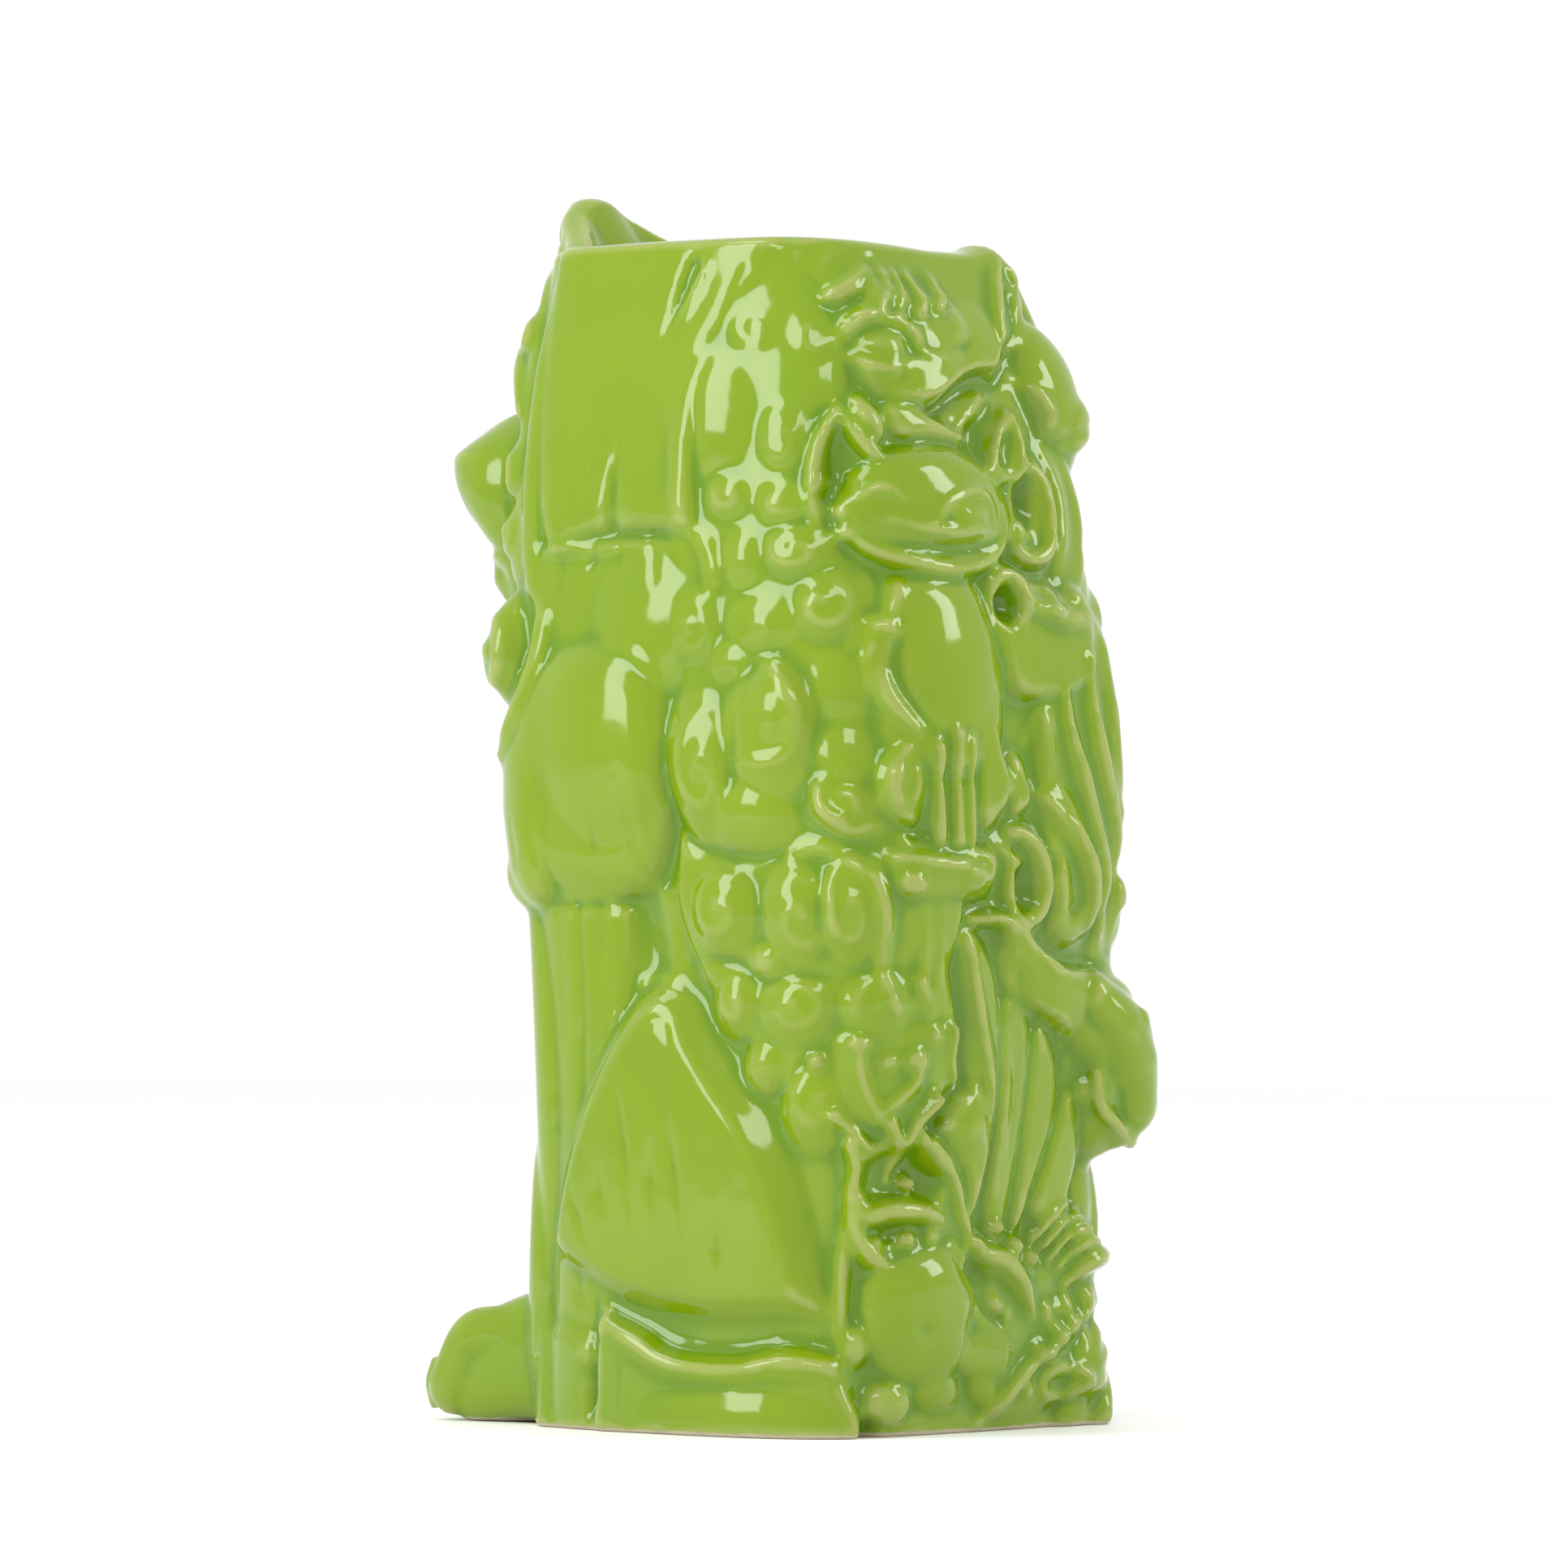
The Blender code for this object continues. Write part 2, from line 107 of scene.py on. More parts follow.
def bend(around, up, out):
    """Places on the sheet, in millimetres, as spots in metres round the wall."""
    around, up, out = np.broadcast_arrays(np.asarray(around, float), up, out)
    turn = np.interp(around / GIRTH % 1, girth_shares, turns)
    half, front, back = (np.interp(up, heights, row) for row in (wall_half, wall_front, wall_back))
    deep = (back - front) / 2
    x, y = plan_curve(turn, half, deep)
    lean_x = np.sign(x) * np.abs(x / half) ** (SQUARENESS - 1) / half
    lean_y = np.sign(y) * np.abs(y / deep) ** (SQUARENESS - 1) / deep
    length = np.hypot(lean_x, lean_y)
    y = y + (front + back) / 2
    return np.stack([x + out * lean_x / length, y + out * lean_y / length, up], -1) * MM

# --- Head: the flat sides and the cheeks ---
# Each side of the head is a flat pad with slanting tool cuts for the swept-back hair. A rounded cheek
# ridge closes it towards the face, and its rear edge swells where the mane begins.
def smooth_line(points, closed=False, spacing=0.8):
    """A smooth line through the points, with a spot about every spacing millimetres."""
    points = np.array(points, float)
    if closed:
        points = np.concatenate([points[-1:], points, points[:2]])
    else:
        before, after = 2 * points[:1] - points[1:2], 2 * points[-1:] - points[-2:-1]
        points = np.concatenate([before, points, after])
    runs = []
    for a, b, c, d in zip(points, points[1:], points[2:], points[3:]):
        count = max(2, int(np.linalg.norm(c - b) / spacing))
        t = np.arange(count)[:, None] / count
        bow = (2 * a - 5 * b + 4 * c - d) * t**2 + (3 * b - a - 3 * c + d) * t**3
        runs.append((2 * b + (c - a) * t + bow) / 2)
    if not closed:
        runs.append(points[-2:-1])
    return np.concatenate(runs)


def measure_line(around, up, line, closed=False):
    """Each spot's distance from the line, its share along the line, and whether it lies inside."""
    nearest = np.full(around.shape, 1e9)
    along = np.zeros(around.shape)
    inside = np.zeros(around.shape, bool)
    ends = np.roll(line, -1, 0) if closed else line[1:]
    for number, (a, b) in enumerate(zip(line, ends)):
        run = b - a
        t = np.clip(((around - a[0]) * run[0] + (up - a[1]) * run[1]) / max(run @ run, 1e-9), 0, 1)
        gap = (around - a[0] - t * run[0]) ** 2 + (up - a[1] - t * run[1]) ** 2
        closer = gap < nearest
        nearest = np.where(closer, gap, nearest)
        along = np.where(closer, number + t, along)
        if closed:
            crossing = a[0] + (up - a[1]) * run[0] / (run[1] or 1e-9)
            inside ^= ((a[1] > up) != (b[1] > up)) & (around < crossing)
    return np.sqrt(nearest), along / len(ends), inside


def spread(values, share):
    """A size that changes along a line: one number, or a list read from its start to its end."""
    values = np.atleast_1d(np.asarray(values, float))
    return np.interp(share, np.linspace(0, 1, len(values)), values)


class Clay:
    """Hands that press pads, knobs, cords and curls on the sheet of clay and cut into it, on the
    side given or on both. Added clay follows what it lies on; laid clay keeps its own level."""

    JOIN = 0.35
    SNAIL_SPOTS = 14
    SNAIL_THICKNESS = 0.34

    def __init__(self, out, sides=(1,)):
        self.out, self.sides = out, sides
        self.rows, self.columns = out.shape

    def patch(self, points, reach):
        """The part of the sheet within reach of the points, with its places around and up."""
        low = np.floor((np.min(points, 0) - reach) / SHEET_STEP).astype(int)
        high = np.ceil((np.max(points, 0) + reach) / SHEET_STEP).astype(int)
        columns = np.arange(low[0], high[0] + 1)
        rows = np.arange(max(low[1], 0), min(high[1], self.rows - 1) + 1)
        around, up = np.meshgrid(columns * SHEET_STEP, rows * SHEET_STEP)
        return np.ix_(rows, columns % self.columns), around, up

    def put(self, spot, shape, height, add):
        """Adds a shape from 0 to 1 to the sheet, or lays it with its foot on the bare wall."""
        now = self.out[spot]
        if add:
            self.out[spot] = now + shape * height
            return
        level = shape * height
        joined = (now + level + np.sqrt((now - level) ** 2 + self.JOIN**2)) / 2
        self.out[spot] = np.where(shape > 0, np.maximum(joined - self.JOIN / 4, now), now)

    def pad(self, outline, height, edge=2, add=False, sharp=False, bevel=False):
        """A flat pad with a rounded or bevelled edge. Several heights go from its foot upwards."""
        tallest = np.max(np.abs(height))
        for side in self.sides:
            line = np.array(outline, float) * [side, 1]
            if not sharp:
                line = smooth_line(line, closed=True)
            spot, around, up = self.patch(line, 1)
            gap, _, inside = measure_line(around, up, line, closed=True)
            depth = np.clip(np.where(inside, gap, 0) / edge, 0, 1)
            share = np.clip((up - line[:, 1].min()) / np.ptp(line[:, 1]), 0, 1)
            shape = depth * (1.2 - 0.2 * depth**5) if bevel else np.sqrt(1 - (1 - depth) ** 2)
            tallest_out = tallest * np.sign(np.max(height) + np.min(height))
            self.put(spot, shape * spread(height, share) / tallest, tallest_out, add)

    def knob(self, around, up, wide, tall, height, turn=0, add=False, soft=0.5):
        """A round or oval dome; a negative height is a dimple."""
        for side in self.sides:
            spot, s, z = self.patch([(around * side, up)], max(wide, tall))
            s, z = s - around * side, z - up
            lean = math.radians(turn * side)
            across = s * math.cos(lean) + z * math.sin(lean)
            along = z * math.cos(lean) - s * math.sin(lean)
            shape = np.clip(1 - (across / wide) ** 2 - (along / tall) ** 2, 0, 1) ** soft
            self.put(spot, shape, height, add or height < 0)

    def cord(self, points, width, height, add=True, soft=0.6):
        """A rounded cord; a negative height is a groove. Width is from its middle to its edge."""
        tallest = np.max(np.abs(height))
        for side in self.sides:
            line = smooth_line(np.array(points, float) * [side, 1])
            spot, s, z = self.patch(line, np.max(width))
            gap, share, _ = measure_line(s, z, line)
            shape = np.clip(1 - (gap / spread(width, share)) ** 2, 0, 1) ** soft
            self.put(spot, shape * spread(height, share) / tallest, tallest, add)

    def cut(self, points, width, depth):
        """A soft groove."""
        self.cord(points, width, -np.asarray(depth, float), soft=1.5)

    def snail(self, around, up, wide, tall, height, turns=1.3, start=90, hand=1):
        """A cord wound into a low spiral."""
        t = np.linspace(0, 1, self.SNAIL_SPOTS)
        swing = np.radians(start) + hand * turns * 2 * math.pi * t
        size = (1 - t) ** 0.8 + 0.02
        path = np.stack([around + wide * size * np.cos(swing), up + tall * size * np.sin(swing)], -1)
        thick = self.SNAIL_THICKNESS * min(wide, tall)
        rising = np.array([0.2, 1, 1, 1]) * height
        self.cord(path, [0.8 * thick, thick, 0.7 * thick], rising, soft=1)

    def curl(self, around, up, wide, tall, height, **swing):
        """A lock of hair wound into a snail on a dome."""
        self.knob(around, up, wide, tall, height, soft=0.6)
        self.snail(around, up, 0.8 * wide, 0.8 * tall, 0.2 * height, **swing)


sheet_rows = round(SHEET_HEIGHT / SHEET_STEP) + 1
clay = Clay(np.zeros((sheet_rows, round(GIRTH / SHEET_STEP))))
twins = Clay(clay.out, sides=(1, -1))

twins.pad([(36.5, 136.2), (52, 136), (67.5, 136), (69.4, 143), (70, 152), (72, 162), (78, 170),
    (88, 184), (60, 188), (36.5, 188)], 2.2, edge=4)
twins.cord([(35.6, 177), (34.4, 168), (33.6, 152), (33.4, 138), (34, 129)], [2.2, 3, 3.2, 2.6],
    [1.2, 2, 2.2, 1.4], add=False)
twins.cord([(66, 137), (66.6, 145), (67, 152), (70, 160)], [2.6, 3, 2.4], [0.7, 0.9, 0.5])
twins.cut([(70, 178.5), (67, 174), (64.5, 169.5), (62, 165.5)], [2.1, 1.5, 0.9, 0.4],
    [1.5, 1.1, 0.7, 0.3])
twins.cord([(72, 178), (69, 173), (66.2, 168.5)], [1, 0.9, 0.5], [0.5, 0.4, 0.1])
twins.cut([(81, 178), (78, 174), (75.5, 170)], [1, 0.8, 0.4], [0.5, 0.4, 0.1])
twins.cut([(52.4, 148), (52, 142), (51.6, 136.5)], [0.5, 1.4, 1.8], [0.3, 0.9, 1.1])
for crack in (
    [(53.6, 151), (53.8, 136.5)], [(44.2, 150), (44.6, 138)], [(41.2, 149), (41.4, 137)],
    [(48.2, 157), (56, 157)], [(50, 151), (47, 144)],
):
    twins.cut(crack, 0.8, 0.22)

# --- Neck: the block under the head ---
# A plain block of clay carries the head. A deep line cut with a tool parts the two, and the block's
# upper edge is a narrow ledge.
twins.pad([(37, 106), (60, 106), (66, 118), (67.5, 127), (67, 134), (37, 134.6)], 1.1, edge=2)
twins.cut([(37.5, 135.4), (45, 135.5), (56, 135.8), (68, 135.6)], [0.8, 1.2, 1.2, 1],
    [0.3, 0.7, 0.7, 0.4])
twins.cord([(37, 133.6), (50, 133.8), (66, 133.8)], [0.9, 1, 0.8], [0.3, 0.5, 0.3])
twins.knob(58, 122, 11, 12, 1.5, add=True, soft=1)
twins.cut([(46.6, 130), (47.8, 132.4), (48.2, 134)], [0.5, 1, 0.6], [0.3, 0.7, 0.3])
for crack in (
    [(53.2, 134), (53, 129), (52.4, 123)], [(59.6, 134), (60.4, 128)], [(41, 133), (41.4, 126)],
):
    twins.cut(crack, 0.7, 0.3)

# --- Forelegs ---
# The upper foreleg is a broad arched pad, crowned like a thigh, that stops in a soft edge at the
# knee. The lower leg is a plain column that wraps round the front corner down to the paw.
twins.pad([(9, 0), (9, 70), (14, 92), (27, 96), (33, 84), (49, 82), (50.4, 66), (48, 40), (47, 0)],
    1.5, edge=2.5)
twins.pad([(20, 84), (22, 98), (28, 108), (34, 114), (40, 118.4), (46, 119.8), (52, 119.4),
    (57, 117.6), (60.6, 113), (61.8, 106), (61.2, 97), (59, 89), (56.4, 84), (53, 81.2), (45, 80.8),
    (37, 81.6), (28, 83)], 3.3, edge=7)
twins.knob(49, 104, 12, 15, 1.5, add=True, soft=1)
twins.pad([(14, 84), (13.4, 94), (18, 106), (27, 110), (36, 104), (38, 92), (35, 80), (22, 79.4)],
    [5, 4.6, 2.6], edge=6.5)
twins.knob(23, 44, 11, 44, 3.2, add=True, soft=0.6)
twins.pad([(10, -20), (10.6, 18), (15, 44), (26, 44), (33, 18), (34, -20)], [3, 3, 1.2], edge=7,
    add=True)
twins.cord([(45, 119.4), (52, 118.8), (57.4, 116.4), (60.6, 111.6), (61.4, 105)],
    [0.5, 1, 1.1, 1, 0.5], [0.1, 0.4, 0.5, 0.4, 0.1])
twins.cut([(63.2, 108), (62.6, 98), (60.4, 89), (57.6, 83)], [1.2, 1.8, 2, 1.6], [0.5, 0.9, 1, 0.8])
for crack in (
    [(53, 101), (53.8, 92), (55.4, 83)], [(46.2, 95), (46.4, 88), (47.2, 81.6)],
    [(34, 96), (34.6, 88), (37, 82)], [(30, 93), (31, 84)], [(57, 96), (57.4, 90)],
):
    twins.cut(crack, [0.5, 0.9, 0.5], [0.2, 0.5, 0.2])
twins.cut([(34, 80.2), (42, 79.8), (52, 80)], 1, 0.7)
for fold, deep in (
    ([(40.6, 80), (41, 60), (41.2, 20)], 0.5), ([(44.8, 80), (45, 74), (44.6, 66)], 0.3),
    ([(49, 80), (49.2, 70), (48.6, 62)], 0.3), ([(36.4, 78), (36, 60)], 0.25),
):
    twins.cut(fold, [1, 1.2, 0.6], deep)
twins.knob(54.5, 75, 4, 10, -1.1, turn=8, soft=1.2)

# --- Haunches ---
# A haunch is a large pad like a leaf set on end, nearly flat, with a raised rim behind it, a sharp
# shoulder at the top and a few shallow cracks in its face.
twins.pad([(33.5, 26), (34, 34), (37, 43), (40, 50), (45, 58.6), (51, 66), (57, 68.6), (62, 66.5),
    (66, 62), (71, 55.6), (77, 48.6), (81.4, 41), (85, 31), (87.8, 22), (88.4, 17.6), (80, 16.6),
    (66, 16.2), (52, 18.2), (43, 21.6)], 3.6, edge=5.4, bevel=True)
twins.pad([(46, 4), (46, 22), (60, 22), (88, 22), (89, 4)], 0.9, edge=2)
twins.knob(60, 38, 24, 30, 0.7, turn=20, add=True, soft=1)
twins.cut([(47, 60), (50, 64), (55, 67.4), (61, 66.2)], [0.8, 1.4, 1.2, 0.7], [0.3, 0.8, 0.8, 0.3])
twins.cord([(44, 57.6), (50, 64.6), (55, 68.4), (61, 67.2)], [0.6, 1, 1.1, 0.7],
    [0.2, 0.5, 0.6, 0.2])
twins.cut([(55, 61), (58.4, 62.6), (61, 57)], [0.8, 1.6, 0.6], [0.3, 0.6, 0.2])
for crack in (
    [(49.4, 55), (52, 43), (53.6, 32)], [(59.6, 52), (62, 40), (64.4, 29)],
    [(40.6, 38), (42.2, 34), (45, 28)], [(57.2, 44), (57.8, 33)], [(70, 33), (71, 24)],
    [(46.6, 40), (48, 33)],
):
    twins.cut(crack, [0.4, 0.9, 0.4], [0.2, 0.6, 0.2])

# --- Hind feet ---
# Each hind foot is a long slab under its haunch, with a rolled upper lip, a heel at the rear corner
# and a belly that is fullest low down.
twins.pad([(47, -4), (46, 6), (46.2, 14), (47.4, 19), (50.6, 17.6), (56, 15.4), (60.4, 13),
    (66, 12), (74, 11.9), (81, 13.2), (87, 12.6), (89.8, 10), (89.8, -4)], 3.6, edge=1.9)
twins.cord([(47.6, 16), (51, 15), (56, 13.2), (60.4, 11.4), (66, 10.7), (74, 10.6), (81, 11.6),
    (89, 11)], [1.6, 2.4, 2.6, 2.6, 2.6, 2.6, 2.6, 2], [0.6, 1, 1.1, 1.1, 1.1, 1.1, 1.1, 0.8],
    soft=1)
twins.knob(72, 1.6, 18, 5.5, 0.9, add=True, soft=0.9)
twins.cut([(45.2, 20), (45.2, 10), (45.6, 0)], [0.8, 1.2, 1.2], [0.6, 1.4, 1.4])
twins.knob(42.8, 11.6, 3.4, 3.6, 2.6)
twins.pad([(30, -4), (30, 12), (36, 16.6), (43, 14), (44.4, 6), (44.4, -4)], 2.2, edge=2.4)
twins.cut([(51.4, 10), (51.2, 2)], 0.9, 0.4)

# --- Rear corners ---
# A narrow upright cord of clay runs from the heel up each rear corner and dies into the mane. A bead
# sits beside its foot.
twins.cord([(90, 0), (90, 8), (89.6, 20), (90.2, 30), (91.4, 42)], [1.2, 1.4, 1.3, 1.2, 0.6],
    [2.2, 2, 1.8, 1.6, 0.6], add=False)
twins.knob(91.6, 13.6, 2.6, 3.6, 2.9, turn=-20)

# --- Mane ---
# The mane is a thick bed of soft lobes from the rim down to the haunch, each wound into a low snail
# curl that the glaze has nearly filled.
twins.pad([(62, 136), (63, 150), (64, 160), (66, 170), (70, 186), (95, 186), (95, 158), (90, 152),
    (89, 140), (93, 132), (97, 118), (96, 104), (100, 84), (100, 66), (96, 58), (90, 44), (84, 46),
    (78, 54), (70, 62), (64, 70), (60, 80), (61, 90), (63, 104), (62, 118), (63, 128)], 1.4,
    edge=3.4)
twins.knob(70, 154, 13, 14, 3, soft=0.8)
twins.cut([(68.4, 138), (69, 148), (69.6, 157), (72, 162)], [1, 1.4, 1.3, 0.6],
    [0.3, 0.6, 0.5, 0.1])
MANE_REAR = 92
LOBES = (
    (81, 167, 7, 7, 1.5), (90.4, 166, 5, 8, 1.9), (84.6, 149.6, 5.6, 7.4, 2.2),
    (84.4, 139.6, 6, 4.4, 2.3), (74.6, 141, 5.6, 4.2, 2.4), (86.6, 132.2, 6.8, 5, 2.7),
    (77, 131.4, 5, 6, 2.3), (80.4, 121.8, 9, 6, 2.2), (90.4, 124, 6, 6.4, 3),
    (67.4, 122, 7, 8, 2.4), (74, 116, 6, 5, 2.1), (91, 112, 6, 8, 2.1), (67.6, 100.6, 8.6, 13, 3.7),
    (79, 103.6, 9.6, 12.4, 3.7), (75.4, 93.6, 10, 8, 3.4), (82, 108, 6.4, 9, 4.1),
    (91, 101, 5.4, 6.6, 2.6), (90.4, 94, 6.2, 6.4, 3), (98.4, 98, 4.4, 7.4, 2.9),
    (69.8, 78.6, 7.6, 8.4, 3.4), (82.4, 78.2, 7, 9.6, 3.3), (90.6, 78.6, 6.2, 9.6, 3.6),
    (71.4, 65, 5, 6, 2.6), (81.8, 64, 7.6, 6.6, 2.8), (94.2, 64, 7, 7, 3.1),
    (76.6, 55.4, 4.4, 4.6, 2.2), (86, 49.6, 7, 7.6, 2.7), (77.4, 71.4, 4, 3.6, 2.4),
)
for lobe in LOBES:
    (twins if lobe[0] < MANE_REAR else clay).knob(*lobe, soft=0.7)
SNAILS = (
    (80.6, 166.8, 4.4, 4.2, 1, 0.3), (90.4, 166, 3, 5.2, -1, 0.3), (84.6, 149.4, 3.4, 4.8, 1, 0.25),
    (84.4, 139.8, 4.6, 2.8, -1, 0.25), (75, 140.8, 3.4, 2.6, 1, 0.25),
    (86.4, 132.4, 5, 3.2, 1, 0.4), (90, 124.2, 4.2, 4.6, -1, 0.45), (67, 121, 4.2, 5, -1, 0.3),
    (79, 121, 5.4, 3.4, 1, 0.25), (68.4, 100, 5.6, 9, 1, 0.45), (90.4, 95, 4, 4.4, 1, 0.5),
    (98.2, 98, 2.7, 5.4, -1, 0.5), (69.6, 78.8, 5, 5.2, 1, 0.4), (84, 77.4, 5.4, 6.4, -1, 0.45),
    (90.6, 78.8, 3.4, 7.4, 1, 0.5), (71.6, 65, 3, 3.8, 1, 0.3), (82.2, 64, 5, 4, -1, 0.35),
    (94, 63.8, 4.4, 4.4, 1, 0.4), (86, 50, 4.4, 4.8, 1, 0.35),
)
for around, up, wide, tall, hand, high in SNAILS:
    side = twins if around < MANE_REAR else clay
    side.snail(around, up, wide, tall, high, hand=hand, start=90 - 50 * hand)

# Creases and swells that part the lobes.
twins.cord([(66.4, 137), (70, 134), (71.4, 130), (70.6, 125)], [1.2, 1.8, 1.8, 0.8],
    [0.3, 0.7, 0.7, 0.2])
clay.cord([(93.6, 130.6), (96, 127), (96.4, 121), (94, 116)], [0.7, 1.2, 1.3, 0.8],
    [0.4, 1, 1, 0.4])
twins.cut([(60.2, 104), (60.6, 96), (63.6, 89.4), (70, 87.2), (80, 86.8)], [1, 1.5, 1.5, 1.4, 0.8],
    [0.4, 0.9, 1, 0.8, 0.3])
twins.cut([(74.6, 112), (75, 104), (73.6, 96)], [0.8, 1.4, 0.8], [0.2, 0.5, 0.2])
twins.cord([(79, 116.6), (83.4, 113.8), (86, 108.6), (85, 103), (80.6, 100.4), (76, 101)],
    [1, 1.9, 2.1, 1.8, 1.4, 0.8], [0.3, 0.8, 0.9, 0.7, 0.5, 0.2], soft=1)
twins.cord([(82, 86.8), (86, 88.2), (90, 87), (93.8, 82.6), (94.6, 76)], [0.8, 1.3, 1.4, 1.3, 0.8],
    [0.3, 0.8, 0.9, 0.8, 0.3])
twins.cut([(86.6, 86), (87, 80), (86.4, 72)], [0.7, 1.2, 0.7], [0.3, 0.6, 0.2])
twins.cord([(87, 98), (88.6, 93), (91.4, 90.6), (95, 91.4)], [0.8, 1.4, 1.5, 0.8],
    [0.4, 1, 1.1, 0.4])
twins.knob(91.8, 91.6, 1, 0.8, -0.6)
twins.cut([(62, 70.6), (70, 71.4), (77, 68), (88, 69)], [0.8, 1.4, 1.2, 0.8], [0.3, 0.7, 0.6, 0.3])

# --- Back: the tufted mask under the rim ---
# A round-eyed mask looks out below the rim, with a row of comma-shaped tufts over its brow, full
# cheeks, a chin that overhangs a deep undercut, and one pointed ear that stands above the rim.
clay.pad([(93.5, 181), (94, 168), (96, 160), (100, 156.4), (108, 155.6), (114, 158.2), (120, 160.6),
    (126, 161.6), (130, 166), (135, 168.6), (141, 176), (142, 184), (120, 186)], 2.4, edge=2.4)
clay.cord([(97, 159), (99.4, 156), (104, 155.4), (109, 155.8), (114, 158.4), (120, 161),
    (125.6, 161.6), (128.6, 164.4), (131, 169)], [0.8, 1.4, 1.5, 1.5, 1.4, 1.4, 1.4, 1.4, 0.8],
    [0.6, 1.5, 1.7, 1.7, 1.5, 1.4, 1.4, 1.3, 0.6])
clay.knob(112, 168.4, 8.4, 7, 1.5, turn=25, add=True, soft=0.8)
clay.knob(110.6, 160.8, 7.4, 3.8, 1.2, turn=20, add=True, soft=0.8)
clay.knob(121.4, 167, 8, 6.4, 0.8, turn=30, add=True, soft=0.9)
clay.cord([(93.8, 163.4), (95, 166.6), (98, 168.6), (101.6, 168.8), (105, 167.2), (107, 164)],
    [0.8, 1.3, 1.5, 1.5, 1.4, 0.8], [0.8, 1.6, 1.9, 1.9, 1.7, 0.8])
clay.cord([(94.4, 162), (97, 160.6), (101, 160.2), (105.4, 161.6)], [0.8, 1.2, 1.3, 0.7],
    [0.6, 1.1, 1.2, 0.5])
clay.knob(100.8, 164.4, 3.6, 3.2, 1.5, add=True, soft=0.6)
clay.cut([(107.6, 164.6), (112, 163.4), (118, 165), (122, 166.4)], [0.8, 1.3, 1.2, 0.6],
    [0.5, 0.9, 0.8, 0.3])
for top, bottom in (
    ((99.4, 177.6), (93.4, 172.4)), ((100.6, 177), (97.6, 169.6)), ((103.2, 177.6), (100.4, 170.6)),
    ((105.8, 177.2), (103.6, 170)), ((109, 177.4), (107.8, 170.2)), ((115.6, 177), (112.6, 171.8)),
):
    middle = (0.35 * top[0] + 0.65 * bottom[0] + 1.1, 0.35 * top[1] + 0.65 * bottom[1])
    clay.cord([top, middle, bottom], [0.9, 1.8, 1.2], [1.2, 2.4, 1.7])
    clay.cut([(top[0] + 1.5, top[1] - 1), (bottom[0] + 1.8, bottom[1] + 0.6)], 0.7, 0.6)
clay.cord([(129, 167), (130.8, 172), (134, 177), (138, 180)], [0.8, 1.4, 1.4, 0.8],
    [0.8, 1.8, 1.8, 1])
clay.cord([(131, 165), (135, 167), (138.4, 171), (141.6, 176), (140, 180)], [0.8, 1.4, 1.6, 1.6, 1],
    [0.8, 1.8, 2.2, 2.2, 1.4])
clay.knob(135.4, 172.4, 2.2, 4.4, -0.9, turn=-30)
clay.cut([(96.6, 155), (101, 153.2), (109, 153), (114, 155.2), (120, 158), (127, 158.6),
    (131, 163)], [1, 1.6, 1.8, 1.6, 1.4, 1.4, 1], [0.8, 1.6, 1.8, 1.6, 1.2, 1.2, 0.6])

# The smooth shoulder beyond the ear.
clay.knob(142.5, 160, 9.6, 11.5, 4.2, turn=-8, soft=0.5)
clay.cut([(133.6, 151), (138, 150.4), (143, 152), (149, 155)], [0.7, 1, 1, 0.6],
    [0.4, 0.8, 0.8, 0.4])
clay.cord([(131, 160), (134, 158), (136, 154), (134, 149)], [0.8, 1.3, 1.2, 0.7],
    [0.6, 1, 0.9, 0.4])

# --- Back: the horned mask ---
# The middle mask is a dome with two tall pointed ears, hooded eyes, a wide closed mouth and a full
# lower lip. A seed-shaped bead hangs over its brow.
clay.pad([(91.4, 137), (93.6, 143), (98, 147), (105, 148.6), (113, 148.4), (119, 146.2), (123, 142),
    (124, 136), (120.4, 131.6), (114, 129), (106, 128.6), (98, 130.4), (93.4, 133)], 3.4, edge=4.5)
clay.knob(107, 141, 13, 8, 1.7, add=True, soft=0.8)
clay.cord([(89.6, 134), (89, 141), (89.8, 147), (91.4, 151), (93, 154)], [1, 1.5, 1.5, 1.3, 0.7],
    [1.6, 2.6, 2.9, 2.8, 1.8], add=False)
clay.cord([(93, 154), (94.6, 150.6), (97, 147), (99.6, 144.6)], [0.7, 1.2, 1.4, 0.9],
    [1.8, 3, 3.8, 3], add=False)
clay.cut([(91.6, 149), (92, 145), (93.4, 141)], [0.6, 1.2, 0.8], [0.4, 1.2, 0.8])
for notch in ((90.2, 142.4), (91.6, 138.4), (92.4, 134.6)):
    clay.knob(*notch, 1.5, 1.2, 0.7, add=True)
    clay.knob(notch[0] + 0.6, notch[1] - 2, 1.6, 0.9, -0.7)
clay.knob(97, 152.2, 2, 4, 3.4, turn=28)
clay.cord([(94.8, 155.6), (96, 150.6), (99, 147.6), (101, 150)], [0.5, 0.8, 0.9, 0.5],
    [0.4, 0.9, 0.9, 0.3])
clay.pad([(99, 154), (103, 155), (110, 152.6), (116, 149.6), (108, 149.4), (101, 149.4)], 2.4,
    edge=2)
clay.cord([(98, 137), (104, 135.6), (110, 135.4), (117.4, 136.2)], [0.6, 1, 1.1, 0.7],
    [0.4, 0.9, 1, 0.5])
clay.cord([(103.4, 136), (106.4, 139.4), (111, 141.4), (115.4, 140.6), (117.8, 137.4)],
    [0.6, 1, 1.1, 1, 0.6], [0.5, 1, 1.2, 1, 0.5])
clay.knob(111.4, 138, 4.2, 2, 1, add=True)
clay.cord([(94, 139.6), (97.4, 141.8), (100.4, 139.4)], [0.6, 1, 0.6], [0.4, 0.8, 0.4])
clay.cut([(95.6, 134.4), (100, 133.2), (108, 132.6), (116, 133.4), (120, 135.4)],
    [0.8, 1.3, 1.4, 1.3, 0.7], [0.6, 1.2, 1.4, 1.2, 0.6])
